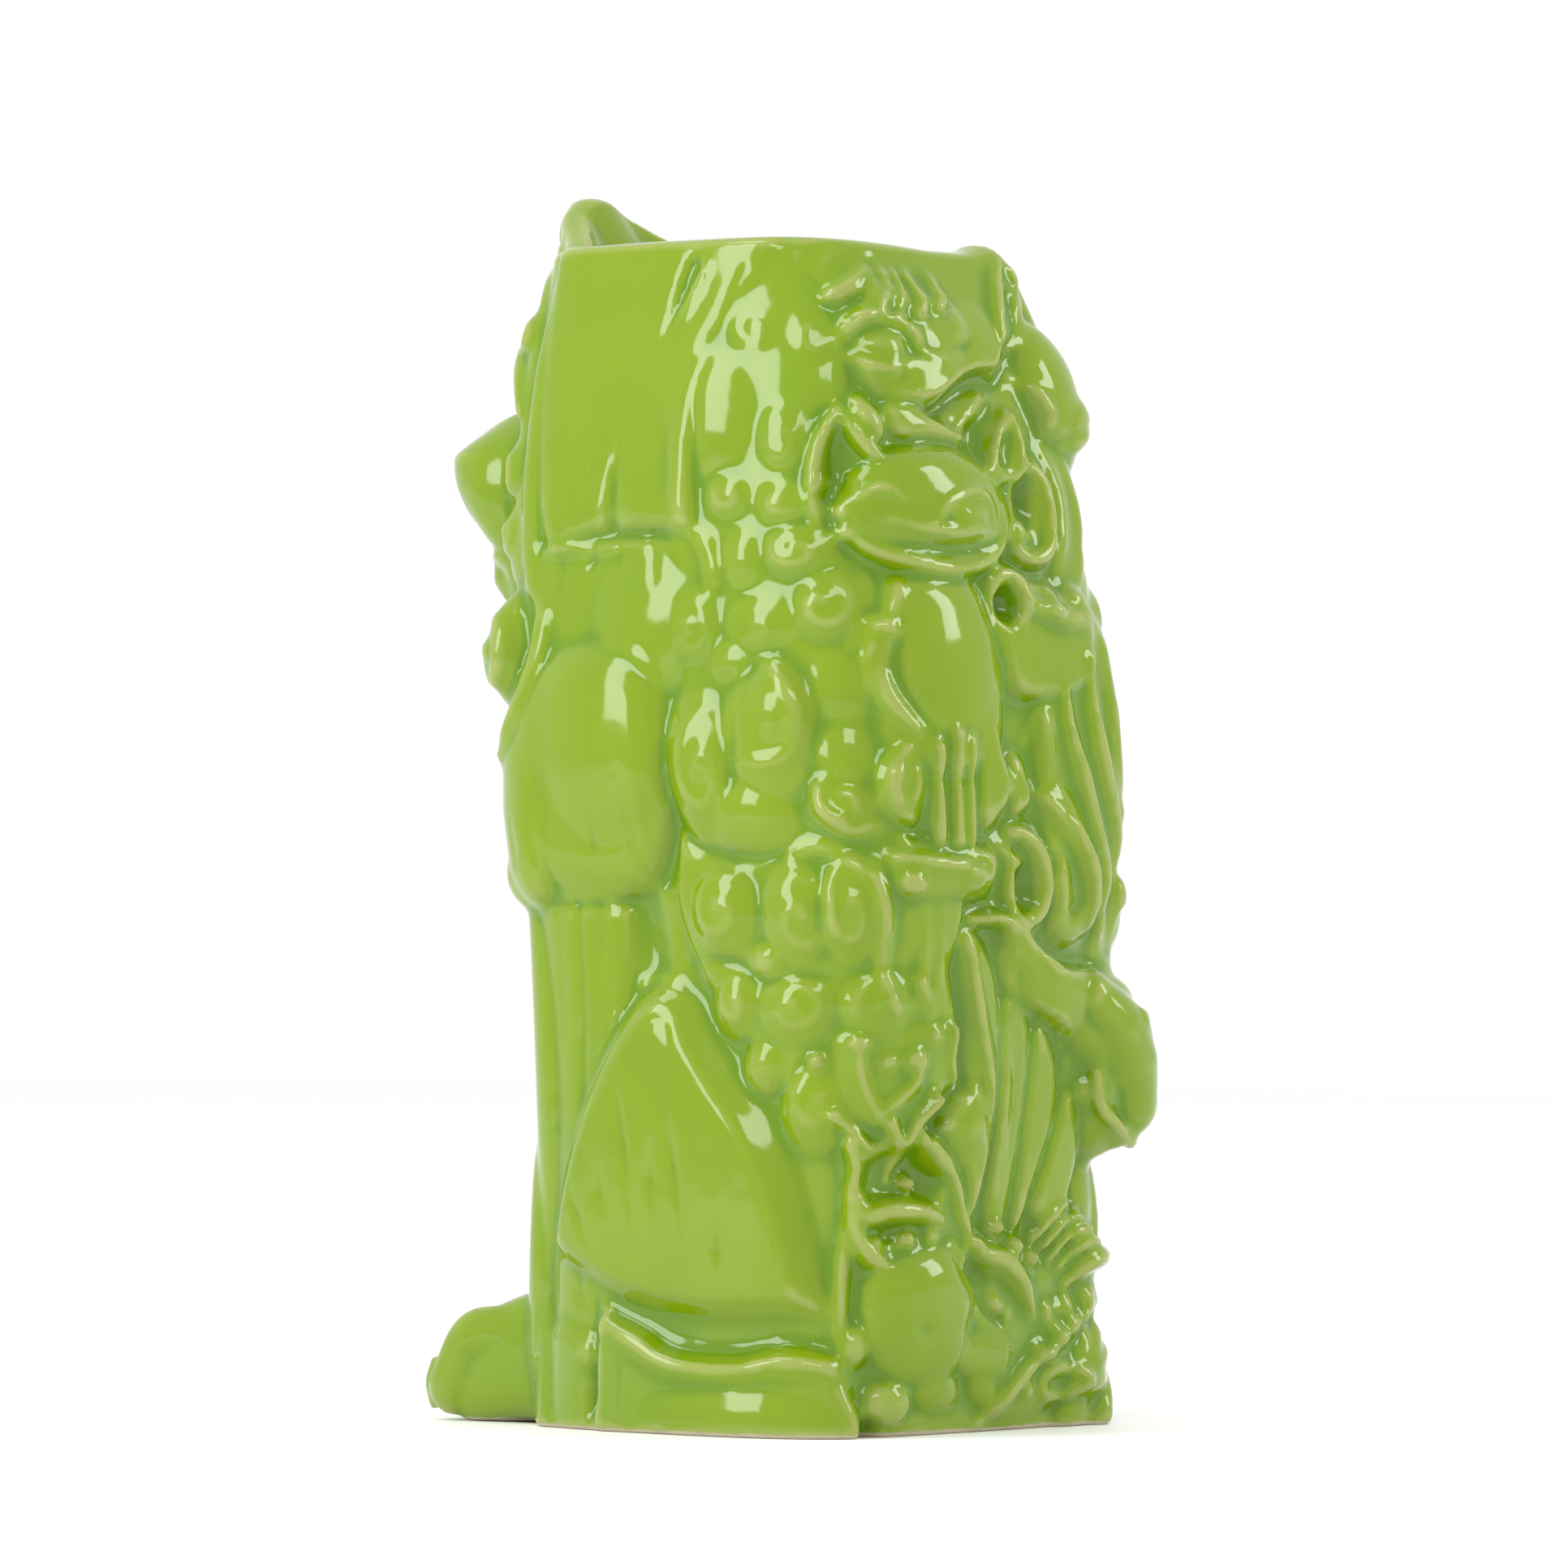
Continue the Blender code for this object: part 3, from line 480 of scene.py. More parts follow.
clay.cord([(94.6, 133.4), (97, 131.4), (102, 130), (108, 129.4), (115, 130.2), (120.4, 133.4)],
    [0.8, 1.3, 1.4, 1.4, 1.3, 0.8], [0.6, 1.1, 1.2, 1.2, 1.1, 0.6])
clay.pad([(118, 143), (119.2, 147.4), (121.4, 151), (125.4, 155), (127.6, 151), (127.4, 146),
    (125.4, 143.4)], 3.3, edge=1.6)
clay.cord([(118.4, 145), (121, 150), (125.2, 154.6)], [0.8, 1.2, 0.8], [0.8, 1.3, 1])
clay.cord([(125.2, 154.6), (127, 150.6), (126.8, 146), (124.6, 143)], [0.8, 1.2, 1.2, 0.7],
    [0.8, 1.1, 1.1, 0.6])
clay.knob(123.2, 148.6, 1.8, 4, -1.3, turn=-20)
clay.knob(118.6, 150.6, 2.6, 2.6, -0.8)
clay.cord([(113.6, 148.6), (116, 151.6), (119.6, 154.6), (123, 157)], [0.6, 1, 1, 0.6],
    [0.5, 1, 1, 0.5])

# --- Back: the hooked finger and the cup ---
# A finger hooks down beside the mask over a deep hollow, and an open cup with a rolled lip stands
# below it.
clay.pad([(124, 146), (132, 148), (134, 140), (133, 132), (127, 130.4), (123, 133)], 2, edge=2)
clay.cord([(126, 146.4), (130, 145.6), (131.8, 142), (131.8, 137), (130.6, 133.4), (127.6, 131.8),
    (124.4, 132.8), (123.4, 135.6)], [0.9, 1.4, 1.6, 1.6, 1.5, 1.4, 1.3, 0.8],
    [0.8, 1.5, 1.9, 1.9, 1.7, 1.6, 1.4, 0.7])
clay.knob(127, 140.4, 2.2, 4.4, -3.2, soft=0.8)
clay.knob(125, 136.4, 1.6, 1.6, 1.2, add=True)
clay.pad([(134, 150), (142, 150), (147, 142), (147, 128), (141, 122), (134, 124), (133, 136)], 0.8,
    edge=4)
clay.cord([(135, 148), (137.4, 143), (137, 137), (134.6, 131)], [1, 1.6, 1.6, 0.9],
    [0.4, 0.9, 0.9, 0.3])
clay.cord([(140.6, 147), (143, 141), (142.4, 134), (139, 128)], [1, 1.6, 1.6, 0.9],
    [0.3, 0.7, 0.7, 0.3])
clay.pad([(116.6, 122), (116.6, 129), (121, 131), (127, 129), (133, 127.4), (139, 128), (141, 120),
    (137, 113), (128, 110.6), (121, 111.4), (118, 116)], 2.9, edge=2.6)
clay.cord([(116.8, 127.6), (119, 130), (122, 129.2), (123.4, 126), (122.6, 122)],
    [0.8, 1.3, 1.4, 1.2, 0.7], [0.6, 1.4, 1.5, 1.2, 0.5])
clay.knob(120, 124.8, 2.4, 3.2, -4.2, soft=0.7)
clay.cord([(122, 126), (127, 124.6), (133, 123.4), (139, 124)], [0.8, 1.4, 1.5, 1],
    [0.6, 1.2, 1.3, 0.7])
for bead in ((129.8, 127.8), (129.8, 124.6), (136, 127)):
    clay.knob(*bead, 1.8, 1.6, 1.1, add=True)
clay.cut([(118.6, 120), (119.6, 114.6), (122, 111)], [0.6, 1, 0.6], [0.3, 0.7, 0.3])

# --- Back: the standing figure ---
# A stocky figure stands below the mask on a dish that it seems to offer, one arm folded, with two
# thin legs, a pleated fold of cloth beside them and a folded foot under the dish.
clay.pad([(96, 100), (95, 112), (96.4, 122), (98.6, 128.4), (108, 129), (114.6, 128), (118.4, 120),
    (119, 110), (116.6, 101), (110, 98.6), (102, 98.4)], 2.6, edge=5)
clay.knob(107.4, 117, 9, 13.5, 1.2, add=True, soft=0.9)
clay.cord([(99.6, 127), (97.2, 121), (95.6, 115.4), (97, 110), (100.6, 105.4)],
    [1, 1.5, 1.6, 1.4, 0.8], [0.8, 1.5, 1.7, 1.4, 0.6])
clay.cut([(99.6, 120), (98.4, 114), (100.4, 109), (103, 106)], [0.6, 1.1, 1, 0.6],
    [0.4, 1, 0.9, 0.4])
clay.cord([(93, 118), (95.6, 121.4), (99, 120)], [0.8, 1.4, 0.8], [0.6, 1.2, 0.6])
clay.cord([(99, 103), (96.4, 99), (96.6, 94), (99.6, 92)], [0.9, 1.6, 1.6, 0.9],
    [0.8, 1.6, 1.6, 0.8])
clay.pad([(102, 105), (112, 105), (112, 90), (102, 90)], 1.2, edge=2)
for leg in ((103.6, 103), (106.8, 105), (109.4, 104)):
    clay.cord([(leg[0], leg[1]), (leg[0] + 0.1, 96), (leg[0], 89.6)], [1, 1.1, 1.2],
        [1.4, 1.9, 2.2])
clay.cut([(105.4, 105), (105.4, 90)], 0.7, 0.9)
clay.cord([(98, 88.8), (101, 88.4), (104.4, 88.2)], [0.8, 1.1, 1], [1, 1.5, 1.5])
clay.cord([(106, 88.3), (109.6, 88.3)], 1.1, 1.6)
clay.pad([(114, 105.6), (116.4, 104), (119.4, 97.6), (118, 94.6), (113.8, 90.6), (111.6, 93),
    (111.8, 100)], 2.5, edge=1.8, sharp=True)
clay.cord([(114.6, 106.4), (117, 101.6), (119.6, 97.4)], [0.5, 0.8, 0.8], [0.4, 0.8, 0.8])
clay.cord([(119.6, 97.4), (117, 93.4), (113, 90.4)], [0.8, 0.8, 0.5], [0.8, 0.8, 0.4])
clay.pad([(119.6, 93.4), (119, 101), (121.6, 102), (124, 96), (123, 94)], 2.1, edge=1.4)
clay.pad([(94.6, 84), (96, 88), (104, 88.4), (112, 88.6), (115.6, 88.4), (116, 84), (113, 80.4),
    (104, 79.8), (97, 80)], 3.1, edge=3.4)
clay.cord([(95.4, 87), (100, 86), (106, 85.4), (112, 84)], [0.8, 1.1, 1.2, 0.8], [0.5, 1, 1.1, 0.6])
clay.cord([(107, 86), (109.4, 87.4), (112.6, 86.4), (113, 83.4)], [0.7, 1.1, 1.2, 0.8],
    [0.5, 1, 1.1, 0.5])
clay.knob(98.4, 82.6, 2, 2, 1.3, add=True)
clay.knob(109.4, 83.2, 2.6, 2, 0.9, add=True)
clay.pad([(97.6, 80), (109, 80), (107, 70), (109, 60), (96, 60), (98.6, 70)], 2, edge=2.5)
clay.cord([(94, 86), (95, 78), (94.4, 70), (96, 64)], [0.8, 1.2, 1.2, 0.8], [0.8, 1.3, 1.3, 0.7])
for fold in (
    [(99, 79.4), (100.2, 73), (98.6, 66)], [(102.6, 79), (103, 72), (101.8, 64)],
    [(106.6, 79.4), (105.6, 72), (106.4, 65)],
):
    clay.cut(fold, [0.7, 1.1, 0.7], [0.4, 0.7, 0.4])
clay.cord([(98.6, 68.8), (101, 67), (102.4, 63)], [0.7, 1.1, 0.7], [0.5, 1, 0.5])

# --- Back: the loop and the wavy strands ---
# A thick loop of rolled clay lies beside the dish, and strands of hair, each a tapering cord, wave
# down the far corner over a soft ground.
clay.cord([(119.6, 90.4), (122, 90), (125, 87), (126.4, 82.6), (125.4, 78.4), (122, 77),
    (119.4, 79.2), (119.8, 84)], [1.4, 1.9, 2.1, 2.1, 2, 1.8, 1.4, 1],
    [2.4, 3.4, 3.8, 3.8, 3.6, 3.2, 2.6, 1.8], add=False)
clay.cord([(116.6, 89.4), (119, 87.4), (121.4, 86)], [0.7, 1.1, 0.8], [0.8, 1.4, 0.8])
clay.knob(120.6, 85.6, 1.8, 1.3, 1.2, add=True)
clay.knob(122.6, 82.4, 1.8, 3, -0.7)
clay.pad([(126, 112), (136, 122), (146, 124), (150, 110), (150, 92), (140, 76), (132, 74),
    (127, 84)], 2, edge=4)
for strand, high in (
    ([(131.4, 112), (132, 106), (134, 100), (137, 92), (141, 84), (143, 76)], 2),
    ([(124.4, 97), (128, 94.6), (132, 90), (136.6, 84), (139.6, 76)], 1.6),
    ([(129, 97), (131.6, 94), (135, 88), (138.4, 80)], 1.3),
    ([(137.6, 118), (138, 108), (141, 98), (145, 90), (148.4, 80)], 1.9),
    ([(143.6, 120), (144.6, 108), (147.4, 98), (151, 88)], 1.9),
    ([(124, 104), (126.6, 108), (127, 98)], 0.8), ([(127.6, 90), (129.4, 86), (131.6, 80)], 1),
):
    clay.cord(strand, [0.9, 1.7, 1.8, 1.2], high * np.array([0.5, 1, 1, 0.6]))
for gap in ((128.4, 86), (134.6, 79), (129, 78)):
    clay.knob(*gap, 1.6, 2.4, -0.7, turn=-20)
clay.knob(146, 116, 7, 9, 3, soft=0.6)
clay.knob(147, 100, 6, 8, 3.4, soft=0.6)

# --- Back: the beast's head ---
# A long-nosed beast lays its head across the lower back and over the far corner, with a sharp brow,
# lips with small teeth and a blunt snout that stands clear of the wall.
clay.pad([(109.6, 77.4), (115, 78.6), (119.6, 77.6), (125, 74), (132, 70.6), (141, 70), (150, 68),
    (156, 62), (157, 48), (151, 41.6), (144, 42), (140.6, 48), (140.6, 54), (136.4, 58.6),
    (130.4, 61.8), (124.6, 65.2), (120.4, 71), (117.6, 75)], 3.8, edge=3)
clay.knob(148, 56, 12, 17, 3.6, turn=-15, add=True, soft=0.8)
clay.knob(133, 66, 8, 5, 0.9, turn=-30, add=True, soft=1)
clay.cord([(110.8, 76.6), (115, 78), (119.4, 77), (124.6, 73.4), (131, 70), (139.6, 69.4)],
    [0.8, 1.2, 1.3, 1.3, 1.2, 0.8], [0.7, 1.2, 1.3, 1.2, 1, 0.5])
clay.cord([(118, 76), (119.6, 71.4), (121.4, 67.6), (125, 64.6), (129.4, 63), (132.6, 61.6),
    (136, 58.4), (137.6, 55.6)], [1, 1.4, 1.5, 1.4, 1.2, 1.1, 1.1, 0.7],
    [1.2, 1.9, 2, 1.7, 1.3, 1.1, 1, 0.5])
for tooth in ((129, 62), (131.2, 61), (133.2, 59.6), (135.2, 57.8)):
    clay.knob(*tooth, 0.9, 1.3, 1, add=True)
clay.knob(113.6, 77.4, 2, 1, 0.6, add=True)
clay.knob(127.6, 70.4, 3, 1.6, 0.8, turn=-25, add=True)
clay.cut([(121.4, 76.6), (127, 72.4), (134, 69.2)], [0.5, 0.8, 0.5], [0.2, 0.5, 0.2])

# --- Back: leaves under the beast ---
# Long hollow leaves and folds hang under the beast's jaw. Each is a pad cut from clay, with a cord
# along one edge and a rounded tip.
clay.pad([(108, 74), (111, 76), (116.6, 70), (119.6, 60), (119.4, 50), (117.6, 36), (113, 30),
    (112, 44), (111.4, 56), (108.6, 66)], 2.2, edge=2.4)
clay.cord([(110, 73), (111.6, 67), (114, 60), (117, 52), (118.6, 42)], [0.9, 1.4, 1.5, 1.4, 0.8],
    [0.7, 1.2, 1.3, 1.1, 0.5])
clay.knob(109.6, 66, 2.2, 8, -1.6, turn=10, soft=1)
clay.pad([(120, 66), (127, 62), (127.6, 50), (126, 36), (124, 30), (119.4, 30.4), (119.6, 44),
    (117.4, 56)], 2, edge=3)
clay.pad([(128, 61), (134, 57), (135.6, 48), (131, 36), (128.6, 30.6), (126.6, 32), (127, 44)], 2.4,
    edge=2.4)
clay.pad([(137.6, 52), (141.6, 47), (142.6, 40), (139.4, 33), (134, 31), (131, 34), (133.4, 42)],
    2.9, edge=2.6)
clay.cord([(120.4, 62), (121.6, 50), (121, 36)], [0.6, 1, 0.7], [0.3, 0.6, 0.3])
clay.cut([(124, 58), (124.4, 46), (123.6, 34)], [0.6, 1, 0.6], [0.3, 0.6, 0.3])
clay.pad([(108, 50), (112, 51.6), (116.4, 49.4), (118.4, 44), (117.4, 38), (114.4, 31.4),
    (112.6, 36), (110, 40.4), (107, 43), (105.6, 46.6)], 3.4, edge=2.6)
clay.cord([(109, 50.6), (112, 51.8), (115.6, 49.6), (116.4, 48.4)], [0.8, 1.2, 1, 0.5],
    [0.6, 1.1, 0.9, 0.3])
clay.knob(112.6, 45.6, 3.4, 3, 0.8, add=True, soft=0.8)

# --- Back: coral branches ---
# Short branches of rolled clay with round tips stand out under the mane on a low pad, with loose
# beads between them.
clay.pad([(88, 47), (88, 61), (98, 63), (109, 62), (107, 51), (99, 46)], 2.7, edge=4)
for branch, wide in (
    ([(91.2, 58.6), (91.4, 55), (92.4, 51), (94.4, 47.4)], 1.4),
    ([(99.6, 55.4), (99.4, 53), (96.6, 50.2), (93.8, 48)], 1.3),
    ([(103.4, 50.2), (101, 48.4), (99.2, 45.4), (98.4, 41)], 1.6),
    ([(96, 46.2), (97.4, 43), (97, 38)], 1.4), ([(88.4, 47.8), (90.6, 45.8), (92.6, 43.4)], 1.1),
    ([(107, 61), (106.8, 57), (108, 53)], 1), ([(90.4, 44), (91.2, 40), (90.8, 36)], 1.3),
):
    clay.cord(branch, [wide, 0.85 * wide, wide], [4.2, 4, 3.4], add=False, soft=0.8)
for tip in (
    (91.2, 58.8, 1.9, 1.7, 4.7), (99.4, 56.2, 2.4, 2.2, 4.7), (103, 50.4, 1.7, 1.5, 4.5),
    (95.2, 56, 1.6, 1.6, 3.9), (88.2, 48.1, 1.7, 1.5, 4.1), (85.6, 56, 1.3, 1.3, 3.7),
    (95.8, 46.8, 1.3, 1.3, 4.4), (103, 60, 1.5, 1.5, 3.7),
):
    clay.knob(*tip)
clay.knob(99.4, 56.2, 1, 1, -0.8)

# --- Back: the grotto ---
# A ring of rock frames a dark grotto with a bar across it and a bead inside; a smooth dome fills the
# ground below.
clay.pad([(90, 42), (99, 46.6), (106, 44), (112, 38), (116, 31), (112, 24), (104, 28), (94, 27),
    (91.4, 32)], 2, edge=2)
clay.knob(99.4, 38.6, 8.4, 5.4, -3.4, soft=0.8)
clay.knob(98, 30.4, 7, 1.9, -2.4, soft=0.8)
clay.cord([(103.6, 51), (101.6, 46), (103.6, 42), (108.4, 39)], [0.8, 1.3, 1.4, 1],
    [0.8, 1.5, 1.6, 1])
clay.cord([(106.6, 47), (104.6, 44), (106.6, 41.6), (110, 40.4)], [0.8, 1.3, 1.4, 1],
    [0.8, 1.5, 1.6, 1])
clay.cord([(101.6, 44.4), (105.6, 41), (109.6, 38), (111.6, 33.6), (114, 30), (112.4, 26.6)],
    [1, 1.4, 1.6, 1.5, 1.4, 1], [2.4, 3.3, 3.6, 3.4, 3.2, 2.4], add=False)
clay.cord([(91.6, 36), (92.2, 33), (96.4, 33.8), (102, 33.6), (107, 32.4)], [1.2, 2, 2.1, 2, 1.4],
    [3.2, 4, 4, 3.8, 3], add=False)
clay.cord([(90.6, 36), (91.4, 31), (93.2, 27.6), (97.6, 24)], [1, 1.5, 1.8, 1], [2.6, 3.5, 3.8, 3],
    add=False)
for bead in (
    (100.2, 37.8, 1.6, 1.2, 2.6), (94.4, 29.2, 1.4, 1.2, 2.7), (100, 29.6, 2, 1.3, 3.1),
    (105, 30, 1.7, 1.4, 2.9),
):
    clay.knob(*bead)
clay.pad([(94, 25.6), (101, 28.2), (108.6, 28.8), (113, 25.2), (117, 21.6), (116, 15), (112, 9),
    (102, 7.4), (95.6, 10), (92.4, 17)], 4.1, edge=6.5)
clay.cord([(109.6, 28.4), (113.6, 24.8), (117.6, 21), (119.4, 18)], [0.8, 1.2, 1.2, 0.8],
    [0.7, 1.2, 1.1, 0.5])
clay.knob(104.6, 21, 9, 9, 0.9, add=True, soft=0.9)
clay.knob(102, 16, 2.4, 2.2, -0.5, soft=1)
clay.knob(97.4, 5.2, 4.6, 3.6, 3.2)
clay.knob(107, 8, 8, 4, 2, turn=-15)
clay.knob(94.4, 0.6, 2.2, 2.6, -2.4)

# --- Back: the horn, the feathers and the fan ---
# A curved horn lies across the lower back, with a bundle of feathers, a ribbed fan, a long stem and
# small rings and beads in the corner beyond it.
clay.pad([(112, 28), (124, 30), (136, 26), (146, 30), (152, 22), (150, 8), (138, 3), (124, 2),
    (116, 8), (114, 18)], 1.8, edge=4)
clay.cord([(115, 28.4), (119, 26.8), (124, 25.4), (129, 22), (133, 17.4)],
    [1.4, 2.4, 2.8, 2.6, 1.2], [3, 4.1, 4.4, 4, 2.6], add=False)
clay.knob(117.6, 23, 4.4, 2.2, -1.8, turn=-35)
clay.knob(122, 18.6, 4.4, 1.9, -1.6, turn=-30)
clay.cord([(118, 22.6), (122, 19.4), (126, 17.4)], [0.7, 1.2, 0.8], [0.8, 1.4, 0.7])
clay.knob(122.8, 18.8, 1.7, 1.4, 1, add=True)
for bead in (
    (116, 28.6, 2.4, 1.5, 4), (121.6, 30.8, 2.4, 1.3, 3.7), (126.6, 28, 2.4, 1.7, 4),
    (131.8, 26, 1.8, 1.5, 3.6), (136.2, 18.2, 1.4, 1.2, 3.1), (138.8, 18.2, 1.4, 1.2, 3.1),
    (131.4, 6, 2.2, 1.9, 2.9),
):
    clay.knob(*bead)
for number in range(4):
    shift = 2.3 * number
    clay.cord([(132.6 + shift, 29 - 1.5 * number), (136 + shift, 32.6 - 1.6 * number),
        (140.4 + shift, 34.4 - 2 * number)], [0.9, 1.4, 1], [2.8, 4 - 0.1 * number, 3], add=False)
clay.pad([(134, 8), (136.4, 17), (142, 21.4), (150, 22.4), (156, 17), (154, 6), (142, 5)], 2.6,
    edge=3)
for rib in range(6):
    lean = math.radians(160 - 27 * rib)
    clay.cord([(144 + 3 * math.cos(lean), 8 + 3 * math.sin(lean)),
        (144 + 11 * math.cos(lean), 8 + 11.6 * math.sin(lean))], [0.6, 1.5], [0.4, 1.1])
clay.cord([(119.6, 1), (124, 4), (130, 8.4), (137, 12.6), (143, 16), (150, 19)],
    [0.8, 1.2, 1.3, 1.3, 1.2, 0.8], [1, 1.6, 1.7, 1.6, 1.4, 0.7])
clay.cord([(135, 7.6), (138, 9), (143, 8.6), (144, 6.4), (140, 4.8), (136, 5.4), (135, 7.6)], 1,
    [0.9, 1.2, 1.2, 0.9])
clay.cord([(141, 22), (145, 25), (151, 26), (157, 22)], [1, 1.7, 1.8, 1], [1.6, 2.4, 2.4, 1.4])
clay.pad([(111, 15), (118, 16), (127, 14), (126, 8.4), (118, 8), (112, 10)], 2.5, edge=2.6)

# --- Face ---
# The front of the head: heavy curled brows, round eyes, a short broad nose over a wedge-shaped upper
# lip, an open mouth with teeth, and a square lower jaw. It is modelled in the same sheet of clay.
clay.pad([(-28, 130), (-30, 150), (-29, 172), (-20, 182), (20, 182), (29, 172), (30, 150),
    (28, 130)], 1.4, edge=3)
clay.cord([(0, 186), (0, 176), (0, 168), (0, 160)], [3, 4, 5, 6.5], [2, 3.6, 6, 9], add=False)
twins.cord([(2.6, 166), (7, 170.4), (13, 171.4), (19, 168.6), (24, 162.6), (26.6, 156)],
    [2.4, 3.2, 3.4, 3.2, 2.8, 2], [4.4, 5.6, 5.8, 5, 4, 2.6], add=False)
twins.curl(24.6, 168.6, 4.6, 4.6, 3, hand=-1, start=200)
twins.curl(10, 177, 4.2, 4, 3.4, hand=1, start=-60)
twins.curl(18.6, 177, 4, 3.8, 3, hand=-1, start=-90)
twins.knob(12.6, 160.4, 6.6, 5.6, 6, soft=0.6)
twins.cord([(5.6, 158.6), (8.6, 163.8), (13, 165.6), (17.4, 163.4), (19.4, 159)],
    [0.9, 1.3, 1.3, 1.3, 0.9], [0.6, 1.3, 1.4, 1.3, 0.6])
twins.cord([(6, 158), (9.4, 155.2), (13.6, 154.6), (18, 156.6)], [0.8, 1.1, 1.1, 0.8],
    [0.5, 1.1, 1.1, 0.5])
twins.knob(12.8, 160.2, 1.6, 1.6, -1)
twins.curl(25, 147, 4.8, 5.6, 3, hand=1, start=100)
twins.curl(25.6, 137, 4.2, 4.6, 2.8, hand=-1, start=80)
clay.pad([(-21.6, 136), (-18, 132.4), (-11, 131.6), (-4, 133.4), (0, 135.2), (4, 133.4),
    (11, 131.6), (18, 132.4), (21.6, 136), (22.4, 147), (19.6, 154.6), (13, 158.4), (-13, 158.4),
    (-19.6, 154.6), (-22.4, 147)], (6, 12.6, 17.6, 9), edge=6)
twins.knob(10, 143.6, 9.4, 8.8, 2, soft=0.8, add=True)
clay.knob(0, 152, 9.4, 5.4, 20.5, soft=0.4)
twins.knob(7.4, 150.6, 4.4, 3.8, 19.6, soft=0.45)
twins.knob(4.8, 148.6, 2.4, 1.9, -3.6, turn=20)
clay.cut([(0, 147), (0, 142), (0, 136)], [1, 1.6, 2], [1.2, 2, 2.4])
twins.cut([(0, 146.4), (5, 145), (11, 146.6), (17, 151)], [0.8, 1.3, 1.3, 0.8],
    [0.6, 1.2, 1.1, 0.5])
for row in range(2):
    for number in range(3):
        twins.knob(7.6 + 3.4 * number, 143.4 - 3.2 * row + 0.5 * number, 0.9, 0.9, -0.7)
twins.cord([(0, 135.6), (7, 135), (14, 135.4), (19, 137)], [1.6, 1.8, 1.8, 1.4], [6, 6, 5.6, 4],
    add=False)

# Mouth, teeth, tongue and jaw.
clay.pad([(-17, 135), (-18.6, 129), (-15, 124.6), (15, 124.6), (18.6, 129), (17, 135)], -4.4,
    edge=3, add=True)
clay.knob(0, 127.4, 8, 4, 2.6, soft=0.6)
clay.cut([(0, 130), (0, 125)], 0.8, 0.6)
for number in range(4):
    twins.knob(2 + 3.7 * number, 132.6, 1.8, 3.6, 8.6 - 0.6 * number, soft=0.35)
twins.cord([(14.8, 135), (15.2, 130.6), (14.4, 125)], [2.6, 2.3, 0.8], [10, 9.6, 6.4], add=False)
clay.pad([(-15.6, 126), (-16.6, 120), (-12.6, 113.4), (12.6, 113.4), (16.6, 120), (15.6, 126)], 8.4,
    edge=4)
for number in range(4):
    twins.knob(1.7 + 3.4 * number, 126, 1.6, 2.6, 9.2 - 0.5 * number, soft=0.35)
twins.cord([(0, 123), (8, 123.2), (14, 124.6), (17.4, 128)], [1.2, 1.4, 1.4, 0.9],
    [0.9, 1.2, 1.2, 0.5])

# Beard: tapering locks that hang from the jaw, curled at their ends.
for around, low, high in ((0, 97, 6.6), (6.2, 99, 6.2), (12, 102.4, 5.6), (17.4, 107, 4.8)):
    side, flick = (twins, 1.4) if around else (clay, 0)
    lock = [(0.7 * around, 116), (0.9 * around, 109), (around, low + 3), (around + flick, low)]
    side.cord(lock, [2.6, 3.3, 2.8, 1], [0.8 * high, high, 0.9 * high, 0.4 * high], add=False)
    side.cut([(0.75 * around, 114), (0.92 * around, 108), (around, low + 4)], 0.7, 0.6)

# --- Collar and bell ---
# A flat strap goes round the chest below the beard and carries one round bell with a slot. It has
# a thin cord along each edge, a row of studs, and a lock of hair over each end.
twins.cord([(0, 93), (12, 95), (22, 100), (30, 108), (35, 116), (37, 124)],
    [2.6, 2.6, 2.6, 2.6, 2.4, 2], [3.4, 3.6, 3.8, 3.8, 3, 1.8], add=False, soft=0.35)
for edge in (-1.7, 1.7):
    twins.cord([(0, 93 + edge), (12, 95 + edge), (22 + 0.3 * edge, 100 + edge),
        (30 + 0.5 * edge, 108 + edge)], 0.5, 0.4)
for number in range(5):
    twins.knob(7.4 + 4.6 * number, 94 + 0.32 * number**2 + 0.9 * number, 0.9, 0.9, 0.7, add=True)
clay.knob(0, 88, 6.4, 6.6, 8, soft=0.5)
clay.cord([(-6, 89), (0, 88.2), (6, 89)], 0.8, 0.7)
clay.cut([(0, 85.6), (0, 82.4)], 0.9, 1.4)
clay.knob(0, 85.4, 1.2, 1.2, -1.4)
clay.cord([(-2, 94.6), (0, 96.4), (2, 94.6)], 1, [1, 1.6, 1])
twins.knob(26.8, 118.4, 5.4, 9.6, 5, soft=0.7)
twins.snail(26.8, 118, 3.8, 6.6, 1, hand=-1, start=140)

# --- Chest and plinth ---
# A rounded chest with shallow ribs shows between the forelegs. Below it the belly, a lower dome,
# fades into the base.
clay.knob(0, 68, 9, 22, 3.2, soft=0.7)
clay.cut([(0, 82), (0, 60), (0, 40)], [0.6, 1.2, 0.6], [0.3, 0.7, 0.3])
for number in range(3):
    up = 74 - 9 * number
    twins.cut([(1.6, up), (5, up + 1.6), (8, up + 4)], [0.6, 1, 0.6], [0.3, 0.6, 0.3])
clay.knob(0, 30, 7.6, 16, 1.8, soft=0.8)

# The far rear corner stands a little proud, so it keeps its outline behind the beast and the strands.
clay.knob(151, 126, 8, 12, 1, soft=0.7)
clay.knob(147, 152, 6, 6, 2, add=True, soft=0.8)
clay.knob(149, 134, 7, 4, -1.6, soft=1)
clay.knob(149, 30, 8, 13, 2.6, add=True, soft=0.6)
clay.knob(149, 5, 8, 11, 3.4, add=True, soft=0.6)

